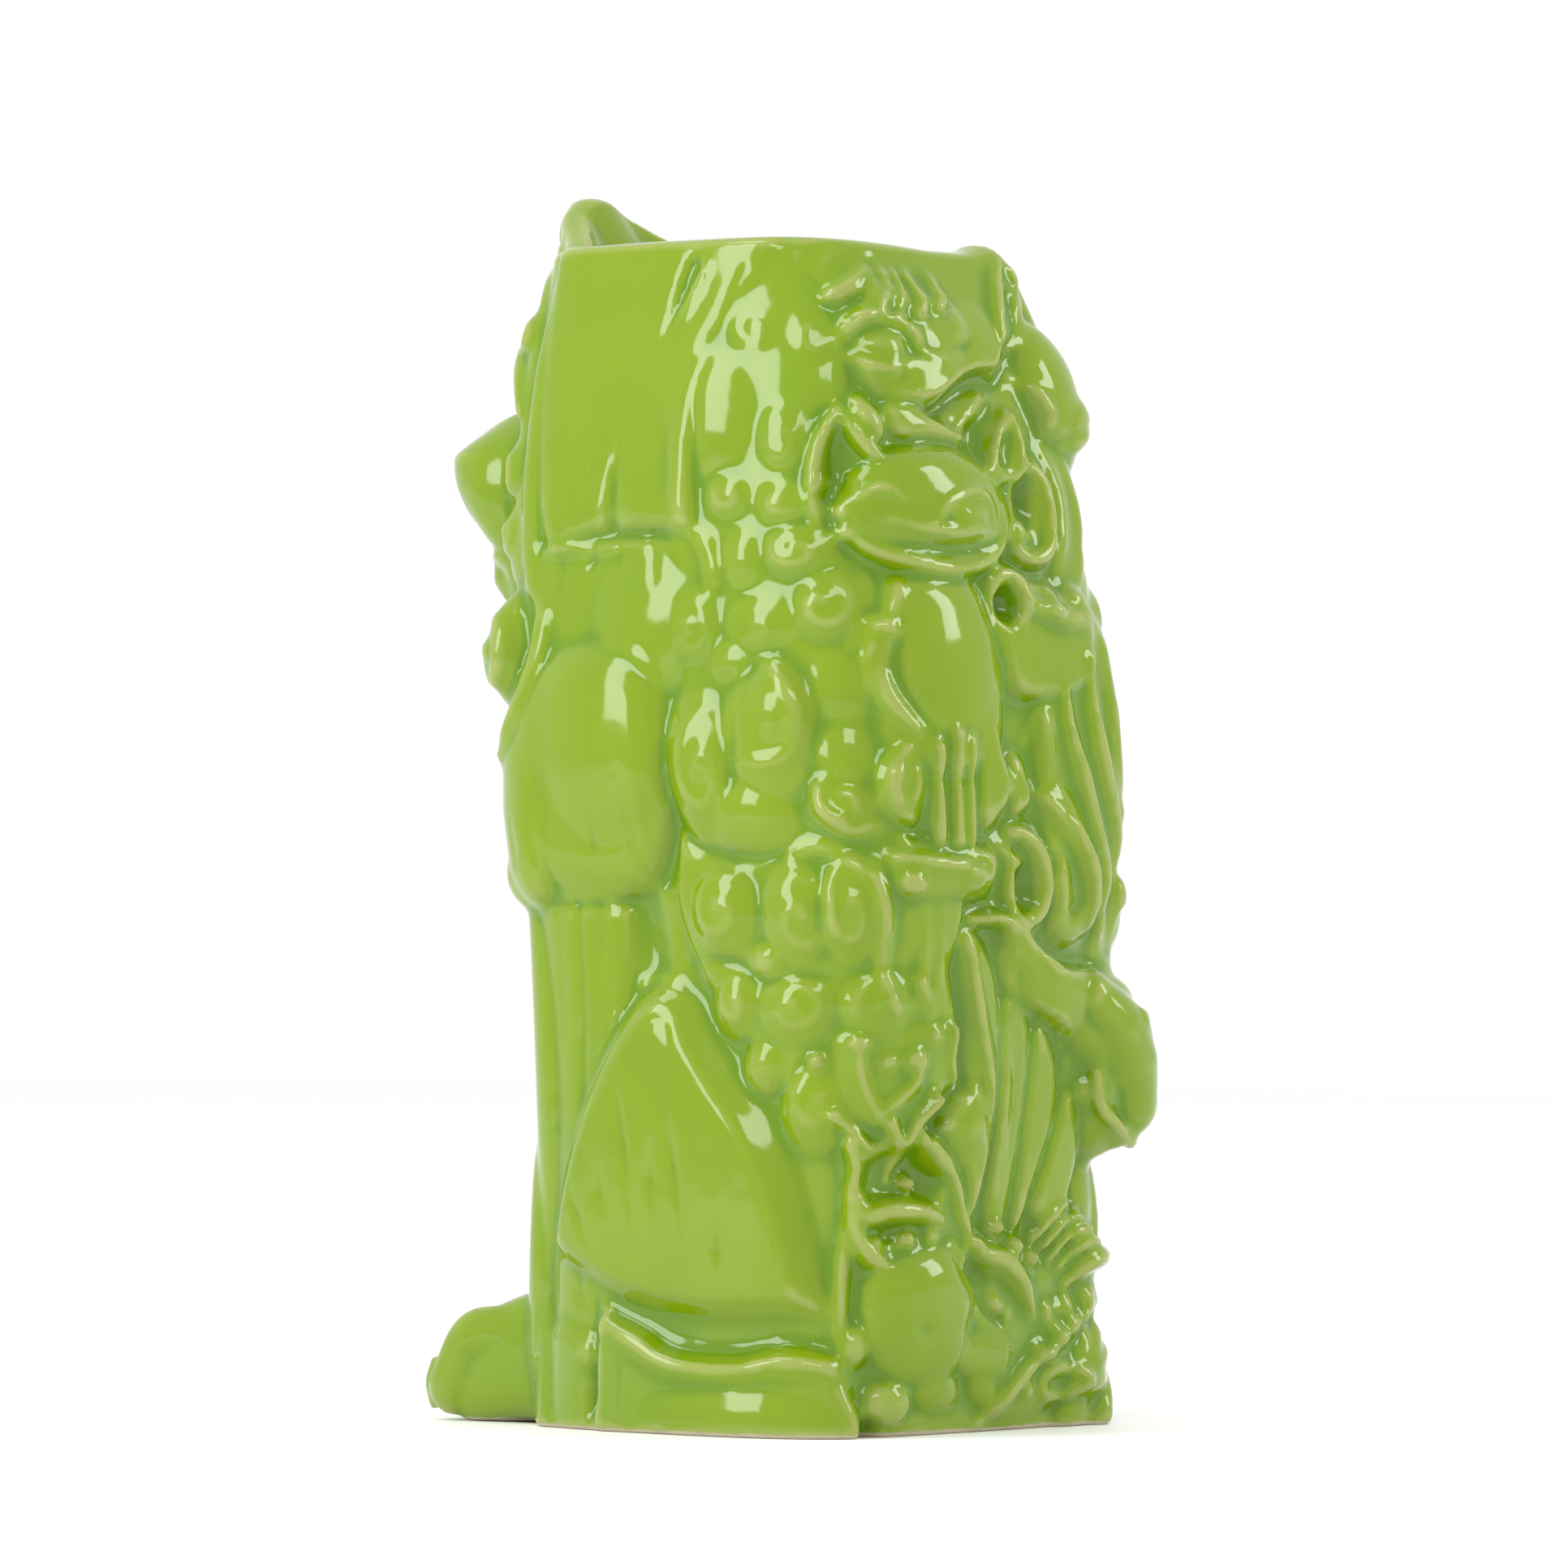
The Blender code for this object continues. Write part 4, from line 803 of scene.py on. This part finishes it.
# --- Crest and rim ---
# The wall ends in a thin rim that waves slightly with the reliefs. In front it rises into a pointed
# crest of hair that leans forward.
RIM = [
    (0, 190), (2.4, 189.7), (6, 187.6), (12, 183.8), (17.6, 180.8), (24, 179.6), (60, 179.5),
    (88, 179.2), (110, 178.6), (121, 178.2), (131, 178.4), (135, 179.2), (138.6, 180.3),
    (141.6, 178.6), (146, 176.6), (152, 177), (160, 179.4), (182, 180), (218, 179.6),
    (224.4, 180.8), (230, 183.8), (236, 187.6), (239.6, 189.7), (242, 190),
]
RIM_START = 160
RIM_OVERLAP = 20
CREST_HALF_WIDTH = 13
CREST_LEAN = 12
CREST_LEAN_UP = [172, 177, 181, 184.5, 187.5, 190]
CREST_LEAN_SHARE = [0, 0.25, 0.8, 1, 1, 0.85]
around = np.arange(clay.columns) * SHEET_STEP
each_millimetre = np.arange(-RIM_OVERLAP, GIRTH + RIM_OVERLAP)
before, after = [(s - GIRTH, z) for s, z in RIM[-8:-1]], [(s + GIRTH, z) for s, z in RIM[:8]]
rim_line = softened(np.interp(each_millimetre, *np.transpose(before + RIM[:-1] + after)), 1)
rim_line = np.interp(around, each_millimetre, rim_line)
rows = np.arange(clay.rows) * SHEET_STEP
share = np.clip((rows[:, None] - RIM_START) / (SHEET_HEIGHT - RIM_START), 0, 1)
up = np.where(share > 0, RIM_START + share * (rim_line - RIM_START), rows[:, None])
from_front = np.minimum(around, GIRTH - around)
lean = np.interp(up, CREST_LEAN_UP, CREST_LEAN_SHARE) * CREST_LEAN
lean = lean * np.exp(-((from_front / CREST_HALF_WIDTH) ** 2))

# --- Glaze over the clay ---
# The glaze fills the corners of the modelling: whatever lies lower than the ground around it is
# partly flooded, and sharp edges are rounded over.
FILLS = ((4, 0.45), (2, 0.4))


def blurred(sheet, reach):
    """The sheet with each spot averaged with its neighbours within a reach of so many steps."""
    weights = np.hanning(2 * reach + 3)[1:-1]
    for axis, mode in enumerate(("edge", "wrap")):
        around_it = [(0, 0), (0, 0)]
        around_it[axis] = (reach, reach)
        padded = np.pad(sheet, around_it, mode=mode)
        length = sheet.shape[axis]
        sheet = sum(
            np.take(padded, range(shift, shift + length), axis) * weight
            for shift, weight in enumerate(weights)
        ) / weights.sum()
    return sheet


relief = clay.out
for reach, fill in FILLS:
    relief = relief + fill * np.maximum(blurred(relief, reach) - relief, 0)
relief = blurred(relief, 1)

# --- Skin: the column closed into one body ---
# The outside, the rounded lip, the upper inside and the foot make one closed skin. The forepaws and
# the beast's snout, which stand clear of the wall, are joined to it before it is smoothed.
WALL = 4.2
LIP_STEPS = 8
LIP_RISE = 1.1
PLUG_UP = 165
PLUG_ROWS = 20
FOOT_WIDTH = 6.5
FOOT_RECESS = 1.6
FOOT_ROUND = 0.6
bodies = []


def ring(up_line, out_line):
    return bend(around, *(np.broadcast_to(line, around.shape) for line in (up_line, out_line)))


def close(rows, middles):
    """A closed body: a tube through rows of spots, with a fan to a middle spot at each end."""
    count = len(rows[0])
    first = np.arange(len(rows) - 1)[:, None] * count + np.arange(count)
    after = np.roll(first, -1, 1)
    walls = [[first, after, after + count], [first, after + count, first + count]]
    start, end = np.arange(count), np.arange(count) + (len(rows) - 1) * count
    spots = np.concatenate(rows)
    foot = [np.roll(start, -1), start, np.full(count, len(spots))]
    head = [end, np.roll(end, -1), np.full(count, len(spots) + 1)]
    faces = [np.stack(corners, -1).reshape(-1, 3) for corners in (*walls, foot, head)]
    bodies.append((np.concatenate([spots, middles]), np.concatenate(faces)))


rings = [ring(FOOT_RECESS, -FOOT_WIDTH - 1), ring(0, -FOOT_WIDTH), ring(0, relief[0] - FOOT_ROUND)]
rings += [ring(up[row], relief[row] + lean[row]) for row in range(1, clay.rows)]
half_wall = (WALL + relief[-1]) / 2
for step in range(1, LIP_STEPS + 1):
    turn = math.pi * step / LIP_STEPS
    lip_out = relief[-1] + lean[-1] - half_wall * (1 - math.cos(turn))
    rings.append(ring(up[-1] + LIP_RISE * math.sin(turn), lip_out))
for part in np.linspace(0, 1, PLUG_ROWS)[1:]:
    rings.append(ring(up[-1] + (PLUG_UP - up[-1]) * part, lean[-1] * (1 - part) ** 2 - WALL))
foot_y, plug_y = (rings[end][:, 1].mean() for end in (0, -1))
close(rings, [(0, foot_y, FOOT_RECESS * MM), (0, plug_y, PLUG_UP * MM)])


def limb(path, wide, tall, side=(1, 0, 0), squareness=2.0, around_steps=36, end_steps=7):
    """A closed limb with round ends swept along a path in metres; side points across its width."""
    line = smooth_line(path, spacing=0.8 * MM)
    share = np.linspace(0, 1, len(line))
    wide, tall = spread(wide, share) * MM, spread(tall, share) * MM
    ahead = np.gradient(line, axis=0)
    ahead /= np.linalg.norm(ahead, axis=1)[:, None]
    across = np.array(side, float) - (ahead @ np.array(side, float))[:, None] * ahead
    across /= np.linalg.norm(across, axis=1)[:, None]
    over = np.cross(across, ahead)
    tip, square = 0.12, math.pi / 2
    stations = [(line[0] - ahead[0] * tall[0] * math.cos(t), math.sin(t), 0)
                for t in np.linspace(tip, square, end_steps)]
    stations += [(line[k], 1, k) for k in range(1, len(line) - 1)]
    stations += [(line[-1] + ahead[-1] * tall[-1] * math.sin(t), math.cos(t), -1)
                 for t in np.linspace(0, square - tip, end_steps)]
    turn = np.arange(around_steps) * 2 * math.pi / around_steps
    c, s = np.cos(turn), np.sin(turn)
    size = (np.abs(c) ** squareness + np.abs(s) ** squareness) ** (-1 / squareness)
    rows = []
    for place, scale, k in stations:
        outline = np.outer(c * size * wide[k], across[k]) + np.outer(s * size * tall[k], over[k])
        rows.append(place + scale * outline)
    close(rows, [rows[0].mean(0), rows[-1].mean(0)])
    bodies[-1][0][:, 2] = np.maximum(bodies[-1][0][:, 2], 0)


# Forepaws: a square block with four toes, each with a short blunt claw.
TOES = ((9.9, -45.6), (14.9, -46.8), (20.2, -46.8), (25.2, -45.6))
for side in (1, -1):
    mirrored = np.array([side, 1, 1]) * MM
    block = np.array([(17.6, -20, 11), (17.6, -32, 10), (17.6, -42, 7.4)])
    limb(block * mirrored, [10.4, 10.4, 9.8], [11, 10.2, 8.4], squareness=3.6)
    for across, reach in TOES:
        toe = [(across, -33, 13.6), (across, -41, 12.6), (across, reach, 5.4)]
        claw = [(across, reach - 3.6, 9), (across, reach - 4.6, 5.6), (across, reach - 4.2, 2)]
        limb(np.array(toe) * mirrored, [2.6, 3.1, 2.9], [4.4, 4.6, 4.6])
        limb(np.array(claw) * mirrored, [1.2, 1.3, 0.7], [1, 1.1, 0.6])

# The beast's snout: a blunt nose with lips, turned down at the far corner.
for around_wall, up_wall, out, wide, tall in (
    (
        [140, 145, 148.4, 150], [66, 61, 55, 49.4], [2, 3.6, 4.8, 6],
        [4.6, 6.4, 7, 6], [4, 5.8, 6.6, 5.6],
    ),
    ([141.6, 144.6, 148], [51.6, 47.4, 45.2], [2.4, 3.4, 5], [2.6, 3, 3], [2.6, 3.2, 3]),
    ([141.2, 141.8, 145, 149.6], [54, 49, 46, 43.4], [4.6, 5.6, 6.8, 7.8], 1.2, 1.2),
    ([146, 148.4], [62.6, 59.4], [8.2, 8.6], 1.7, 1.5),
):
    limb(bend(around_wall, up_wall, out), wide, tall, side=(1, 1, 0))

# --- Glazed skin ---
# All of it becomes one skin at a fine, even grain, smoothed as the glaze would smooth it. The plug
# hidden inside is taken out again, and the skin is parted into regions that share its normals.
GRAIN = 0.6
SMOOTHING = 5
SHRINK, SWELL = 0.5, -0.3
EDGE_REACH, BROAD_REACH = 8, 60


def make_mesh(name, spots, faces):
    mesh = bpy.data.meshes.new(name)
    mesh.vertices.add(len(spots))
    mesh.vertices.foreach_set("co", np.asarray(spots, np.float32).ravel())
    mesh.loops.add(faces.size)
    mesh.loops.foreach_set("vertex_index", faces.astype(np.int32).ravel())
    mesh.polygons.add(len(faces))
    mesh.polygons.foreach_set("loop_start", np.arange(0, faces.size, faces.shape[1], dtype=np.int32))
    mesh.update(calc_edges=True)
    mesh.validate()
    mesh.shade_smooth()
    return mesh


def stand(name, mesh):
    """A new piece with that mesh, linked into the scene."""
    piece = bpy.data.objects.new(name, mesh)
    bpy.context.scene.collection.objects.link(piece)
    return piece


starts = np.cumsum([0] + [len(spots) for spots, _ in bodies])
blank_spots = np.concatenate([spots for spots, _ in bodies])
blank_faces = np.concatenate([faces + start for (_, faces), start in zip(bodies, starts)])
blank = stand("clay_blank", make_mesh("clay_blank", blank_spots, blank_faces))
remesh = blank.modifiers.new("even grain", "REMESH")
remesh.mode = "VOXEL"
remesh.voxel_size = GRAIN * MM
remesh.adaptivity = 0
whole = bpy.data.meshes.new_from_object(blank.evaluated_get(bpy.context.evaluated_depsgraph_get()))
bpy.data.objects.remove(blank)


def read_out(items, field, numbers, kind):
    """One field of all the items, each with so many numbers, in one line."""
    values = np.empty(len(items) * numbers, kind)
    items.foreach_get(field, values)
    return values


spots = read_out(whole.vertices, "co", 3, np.float32).reshape(-1, 3).astype(float)
faces = read_out(whole.loops, "vertex_index", 1, np.int32).reshape(-1, 4)
edges = read_out(whole.edges, "vertices", 2, np.int32).reshape(-1, 2)
bpy.data.meshes.remove(whole)
neighbours = np.bincount(edges.ravel(), minlength=len(spots))[:, None]


def relaxed(places, share, times):
    """The places moved a share of the way to the middle of their neighbours, so many times."""
    (one, other), count = edges.T, len(places)
    for _ in range(times):
        total = [np.bincount(one, row[other], count) + np.bincount(other, row[one], count)
                 for row in places.T]
        places = places + share * (np.stack(total, -1) / neighbours - places)
    return places


for _ in range(SMOOTHING):
    spots = relaxed(relaxed(spots, SHRINK, 1), SWELL, 1)


def spot_normals(places):
    corners = places[faces]
    flat = np.cross(corners[:, 2] - corners[:, 0], corners[:, 3] - corners[:, 1])
    total = [np.bincount(faces.ravel(), np.repeat(row, 4), len(places)) for row in flat.T]
    total = np.stack(total, -1)
    return total / np.maximum(np.linalg.norm(total, axis=1), 1e-12)[:, None]


# How far each spot stands out of what surrounds it, in millimetres: closely, and broadly.
normals = spot_normals(spots)
edge_shape, broad_shape = (
    ((spots - relaxed(spots, SHRINK, reach)) * normals).sum(1) / MM
    for reach in (EDGE_REACH, BROAD_REACH)
)

# Which region each face belongs to, numbered as they are made below; -1 is the plug.
INSIDE_SHARE = 0.93
PLUG_LOW, PLUG_MARGIN = 100, 3.5
PAW_UP, PAW_FRONT = 26, -20
FACE_EDGE, LEFT_EDGE, BACK_EDGE = 33, 92, 152
middles = spots[faces].mean(1) / MM
wall_middle = np.interp(middles[:, 2], heights, (wall_front + wall_back) / 2)
turn = np.arctan2(middles[:, 0], -(middles[:, 1] - wall_middle)) % (2 * math.pi)
face_around = np.interp(turn, turns, girth_shares) * GIRTH
shell_half = np.interp(middles[:, 2], heights, wall_half)
shell_deep = np.interp(middles[:, 2], heights, (wall_back - wall_front) / 2)
size = (np.abs(middles[:, 0] / shell_half) ** SQUARENESS
        + np.abs((middles[:, 1] - wall_middle) / shell_deep) ** SQUARENESS) ** (1 / SQUARENESS)
plug = (size < INSIDE_SHARE) & (middles[:, 2] > PLUG_LOW) & (middles[:, 2] < PLUG_UP + PLUG_MARGIN)
paws = (middles[:, 2] < PAW_UP) & (middles[:, 1] < PAW_FRONT)
front = (face_around < FACE_EDGE) | (face_around > GIRTH - FACE_EDGE)
left, back = face_around < LEFT_EDGE, face_around < BACK_EDGE
region = np.select([plug, paws, front, left, back], [-1, 0, 1, 2, 3], 4)


# --- Glaze ---
# A clear apple-green gloss glaze over white clay. It runs thin and creamy on every ridge, pools
# darker and greener in the hollows, and stops in a wavy line above the bare foot.
class Wire:
    """One socket of a finish. Sums written with wires add Math nodes to the finish."""

    def __init__(self, finish, socket):
        self.finish, self.socket = finish, socket

    def maths(self, operation, *values):
        return self.finish.node("ShaderNodeMath", {"operation": operation}, dict(enumerate(values)))

    def __add__(self, other):
        return self.maths("ADD", self, other)

    def __radd__(self, other):
        return self.maths("ADD", other, self)

    def __sub__(self, other):
        return self.maths("SUBTRACT", self, other)

    def __rsub__(self, other):
        return self.maths("SUBTRACT", other, self)

    def __mul__(self, other):
        return self.maths("MULTIPLY", self, other)

    def __rmul__(self, other):
        return self.maths("MULTIPLY", other, self)

    def ramp(self, low, high):
        """0 below low, 1 above high, eased between."""
        return self.finish.node("ShaderNodeMapRange", {"interpolation_type": "SMOOTHSTEP"},
                                {"Value": self, "From Min": low, "From Max": high})


class Finish:
    """A material with one principled shader, and a node() that makes every other node."""

    def __init__(self, name, **constants):
        self.material = bpy.data.materials.new(name)
        self.material.use_nodes = True
        self.tree = self.material.node_tree
        self.shader = self.tree.nodes["Principled BSDF"]
        for socket, value in constants.items():
            self.shader.inputs[socket.replace("_", " ")].default_value = value

    def node(self, kind, settings, inputs, output=0):
        node = self.tree.nodes.new(kind)
        for setting, value in settings.items():
            setattr(node, setting, value)
        for name, value in inputs.items():
            if isinstance(value, Wire):
                self.tree.links.new(value.socket, node.inputs[name])
            else:
                node.inputs[name].default_value = value
        return Wire(self, node.outputs[output])

    def noise(self, place, scale, detail):
        inputs = {"Vector": place, "Scale": scale, "Detail": detail}
        return self.node("ShaderNodeTexNoise", {}, inputs)

    def mix(self, share, one, other):
        """A colour between two colours."""
        inputs = {0: share, 6: one, 7: other}
        return self.node("ShaderNodeMix", {"data_type": "RGBA"}, inputs, output=2)

    def drive(self, socket, wire):
        self.tree.links.new(wire.socket, self.shader.inputs[socket])


def hue(red, green, blue):
    """A paint-chart colour, 0 to 255, as the shader's linear colour."""
    return tuple(
        ((part / 255 + 0.055) / 1.055) ** 2.4 if part > 10 else part / 255 / 12.92
        for part in (red, green, blue)
    ) + (1,)


GREEN = hue(118, 143, 4)
LEAF_GREEN = hue(111, 140, 3)
POOLED_GREEN = hue(84, 124, 0)
THIN_GLAZE = hue(150, 158, 84)
BARE_CLAY = hue(180, 170, 145)

CLOUD_SCALE, MOTTLE_SCALE, RIPPLE_SCALE = 45.0, 260.0, 130.0
THIN_FROM, THIN_TO, THIN_SHARE = 0.035, 0.17, 0.7
POOL_TO, POOL_SHARE = 0.32, 0.8
BARE_FROM, BARE_TO = 0.0004, 0.0008

glaze = Finish("apple_green_glaze", IOR=1.46)
place = glaze.node("ShaderNodeTexCoord", {}, {}, output=3)
edge = glaze.node("ShaderNodeAttribute", {"attribute_name": "edge_shape"}, {}, output=2)
broad = glaze.node("ShaderNodeAttribute", {"attribute_name": "broad_shape"}, {}, output=2)
cloud = glaze.noise(place, CLOUD_SCALE, 3.0)
mottle = glaze.noise(place, MOTTLE_SCALE, 2.0)
height_up = glaze.node("ShaderNodeSeparateXYZ", {}, {"Vector": place}, output=2)
thin = (edge + (mottle - 0.5) * 0.03).ramp(THIN_FROM, THIN_TO) * THIN_SHARE
pooled = (-1 * (edge * 1.5 + broad * 0.5) + (cloud - 0.5) * 0.05).ramp(0.0, POOL_TO)
body = glaze.mix(cloud.ramp(0.3, 0.7), GREEN, LEAF_GREEN)
body = glaze.mix(pooled * POOL_SHARE, body, POOLED_GREEN)
body = glaze.mix(thin, body, THIN_GLAZE)
glazed = (height_up + (mottle - 0.5) * 0.0005 + (cloud - 0.5) * 0.0006).ramp(BARE_FROM, BARE_TO)
bare = 1 - glazed
glaze.drive("Base Color", glaze.mix(bare, body, BARE_CLAY))
glaze.drive("Roughness", 0.07 + mottle * 0.03 + thin * 0.05 + bare * 0.5)
ripple = glaze.noise(place, RIPPLE_SCALE, 1.0)
bump = {"Strength": 0.2, "Distance": 0.0006, "Height": ripple + mottle * 0.1}
glaze.drive("Normal", glaze.node("ShaderNodeBump", {}, bump))

FLANK_NODES = ("head_side_panel", "cheek_ridge", "neck_block", "foreleg", "haunch", "hind_foot")
MANE_NODES = tuple(f"mane_curl_{number}" for number in range(1, 6))
REGIONS = (
    ("forepaws", ("forepaw_left", "forepaw_right")),
    ("face_and_chest", (
        "brow_left", "brow_right", "eye_left", "eye_right", "nose_bridge", "muzzle", "teeth",
        "lower_jaw", "beard", "collar", "bell", "crest",
    )),
    ("left_flank", tuple(f"{node}_left" for node in FLANK_NODES + MANE_NODES)),
    ("back_reliefs", (
        "tufted_mask", "tufted_mask_ear", "shoulder_mass", "bat_mask", "bat_mask_left_ear",
        "bat_mask_right_ear", "figure_torso", "figure_legs", "offering_plate", "finger", "cup",
        "strand_bundle", "loop", "beast_head", "beast_snout", "long_leaf", "coral_branch",
        "grotto_arch", "grotto_bar", "grotto_dome", "curved_horn", "feathers", "fan",
    )),
    ("right_flank", tuple(f"{node}_right" for node in FLANK_NODES + MANE_NODES)),
)
for number, (name, nodes) in enumerate(REGIONS):
    used, renumbered = np.unique(faces[region == number], return_inverse=True)
    mesh = make_mesh(name, spots[used], renumbered.reshape(-1, 4))
    for attribute, values in (("edge_shape", edge_shape), ("broad_shape", broad_shape)):
        layer = mesh.attributes.new(attribute, "FLOAT", "POINT")
        layer.data.foreach_set("value", values[used].astype(np.float32))
    mesh.normals_split_custom_set_from_vertices(normals[used].astype(np.float32))
    mesh.materials.append(glaze.material)
    piece = stand(name, mesh)
    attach(piece, "root")
    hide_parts(*nodes)

# --- Inside ---
# The inside is a plain well of the same casting. It follows the wall down to a rounded floor, and
# is glazed like the outside.
FLOOR_UP = 6
FLOOR_ROUND = 5
WELL_OVERLAP = 6
WELL_PROUD = 0.15
WELL_ROWS, ROUND_ROWS = 60, 6
FLOOR_SHARES = (0.4, 0.8, 0.98)
WELL_THINNING = 3
well_out = -WALL + WELL_PROUD
well_ups = np.linspace(PLUG_UP + WELL_OVERLAP, FLOOR_UP + FLOOR_ROUND, WELL_ROWS)
well = [ring(well_up, well_out) for well_up in well_ups]
for part in np.linspace(0, 1, ROUND_ROWS + 1)[1:]:
    turn = part * math.pi / 2
    drop, inward = FLOOR_ROUND * math.sin(turn), FLOOR_ROUND * (1 - math.cos(turn))
    well.append(ring(FLOOR_UP + FLOOR_ROUND - drop, well_out - inward))
floor_edge = well[-1]
floor_middle = np.array([0, floor_edge[:, 1].mean(), FLOOR_UP * MM])
well += [floor_edge * (1 - part) + floor_middle * part for part in FLOOR_SHARES]
well = [row[::WELL_THINNING] for row in well]
count = len(well[0])
first = np.arange(len(well) - 1)[:, None] * count + np.arange(count)
after = np.roll(first, -1, 1)
well_faces = np.stack([first, after, after + count, first + count], -1).reshape(-1, 4)
well_mesh = make_mesh("inside_well", np.concatenate(well), well_faces)
well_mesh.materials.append(glaze.material)
inside_well = stand("inside_well", well_mesh)
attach(inside_well, "root")
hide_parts("vessel")

# --- Table, lamps and camera ---
# The vessel stands on a white table in an even white room. Two tall soft lamps light its sides, and
# two higher ones light the ledges.
HALF_TABLE = 3
TABLE_SPECKLE = 400.0
DULL_WHITE, BRIGHT_WHITE = (0.96, 0.96, 0.96, 1), (0.985, 0.985, 0.985, 1)
table = bpy.data.meshes.new("table")
corners = [(x * HALF_TABLE, y * HALF_TABLE, 0) for x, y in ((-1, -1), (1, -1), (1, 1), (-1, 1))]
table.from_pydata(corners, [], [(0, 1, 2, 3)])
paint = Finish("table_paint", Roughness=0.6)
place = paint.node("ShaderNodeTexCoord", {}, {}, output=3)
speckle = paint.noise(place, TABLE_SPECKLE, 3.0)
paint.drive("Base Color", paint.mix(speckle, DULL_WHITE, BRIGHT_WHITE))
table.materials.append(paint.material)
stand("table", table)

room = bpy.data.worlds.new("room")
bpy.context.scene.world = room
room.use_nodes = True
room.node_tree.nodes["Background"].inputs["Color"].default_value = (1, 1, 1, 1)
room.node_tree.nodes["Background"].inputs["Strength"].default_value = 1.0
bpy.context.scene.view_settings.view_transform = "Standard"


def aim(thing, height):
    """Turns a lamp or the camera towards the upright axis at a height."""
    view = Vector((0, 0, height)) - thing.location
    thing.rotation_euler = view.to_track_quat("-Z", "Y").to_euler()
    bpy.context.scene.collection.objects.link(thing)


# Each lamp's bearing from the front and rise in degrees, distance, width and height in metres, power.
LAMPS = (
    ("side_lamp", 63, 24, 1.5, 0.47, 0.95, 9.2),
    ("back_lamp", 218, 28, 1.6, 0.4, 0.8, 7),
    ("high_lamp", 126, 35, 1.6, 0.7, 0.32, 4.4),
    ("top_lamp", 44, 60, 1.5, 0.6, 0.42, 3.4),
)
LAMP_AIM = 0.1
for name, bearing, rise, distance, width, tall, power in LAMPS:
    light = bpy.data.lights.new(name, "AREA")
    light.shape = "RECTANGLE"
    light.size, light.size_y = width, tall
    light.energy = power
    lamp = bpy.data.objects.new(name, light)
    flat, rise = math.radians(bearing), math.radians(rise)
    x, y = math.sin(flat) * math.cos(rise), -math.cos(flat) * math.cos(rise)
    lamp.location = Vector((x, y, math.sin(rise))) * distance
    lamp.location.z += LAMP_AIM
    aim(lamp, LAMP_AIM)

CAMERA_BEARING = math.radians(130)
CAMERA_DISTANCE = 1.35
CAMERA_UP = 0.07
CAMERA_AIM = 0.0984
camera_data = bpy.data.cameras.new("camera")
camera_data.lens = 201.24
camera_data.sensor_width = 36
camera = bpy.data.objects.new("camera", camera_data)
camera_x, camera_y = math.sin(CAMERA_BEARING), -math.cos(CAMERA_BEARING)
camera.location = (camera_x * CAMERA_DISTANCE, camera_y * CAMERA_DISTANCE, CAMERA_UP)
aim(camera, CAMERA_AIM)
bpy.context.scene.camera = camera
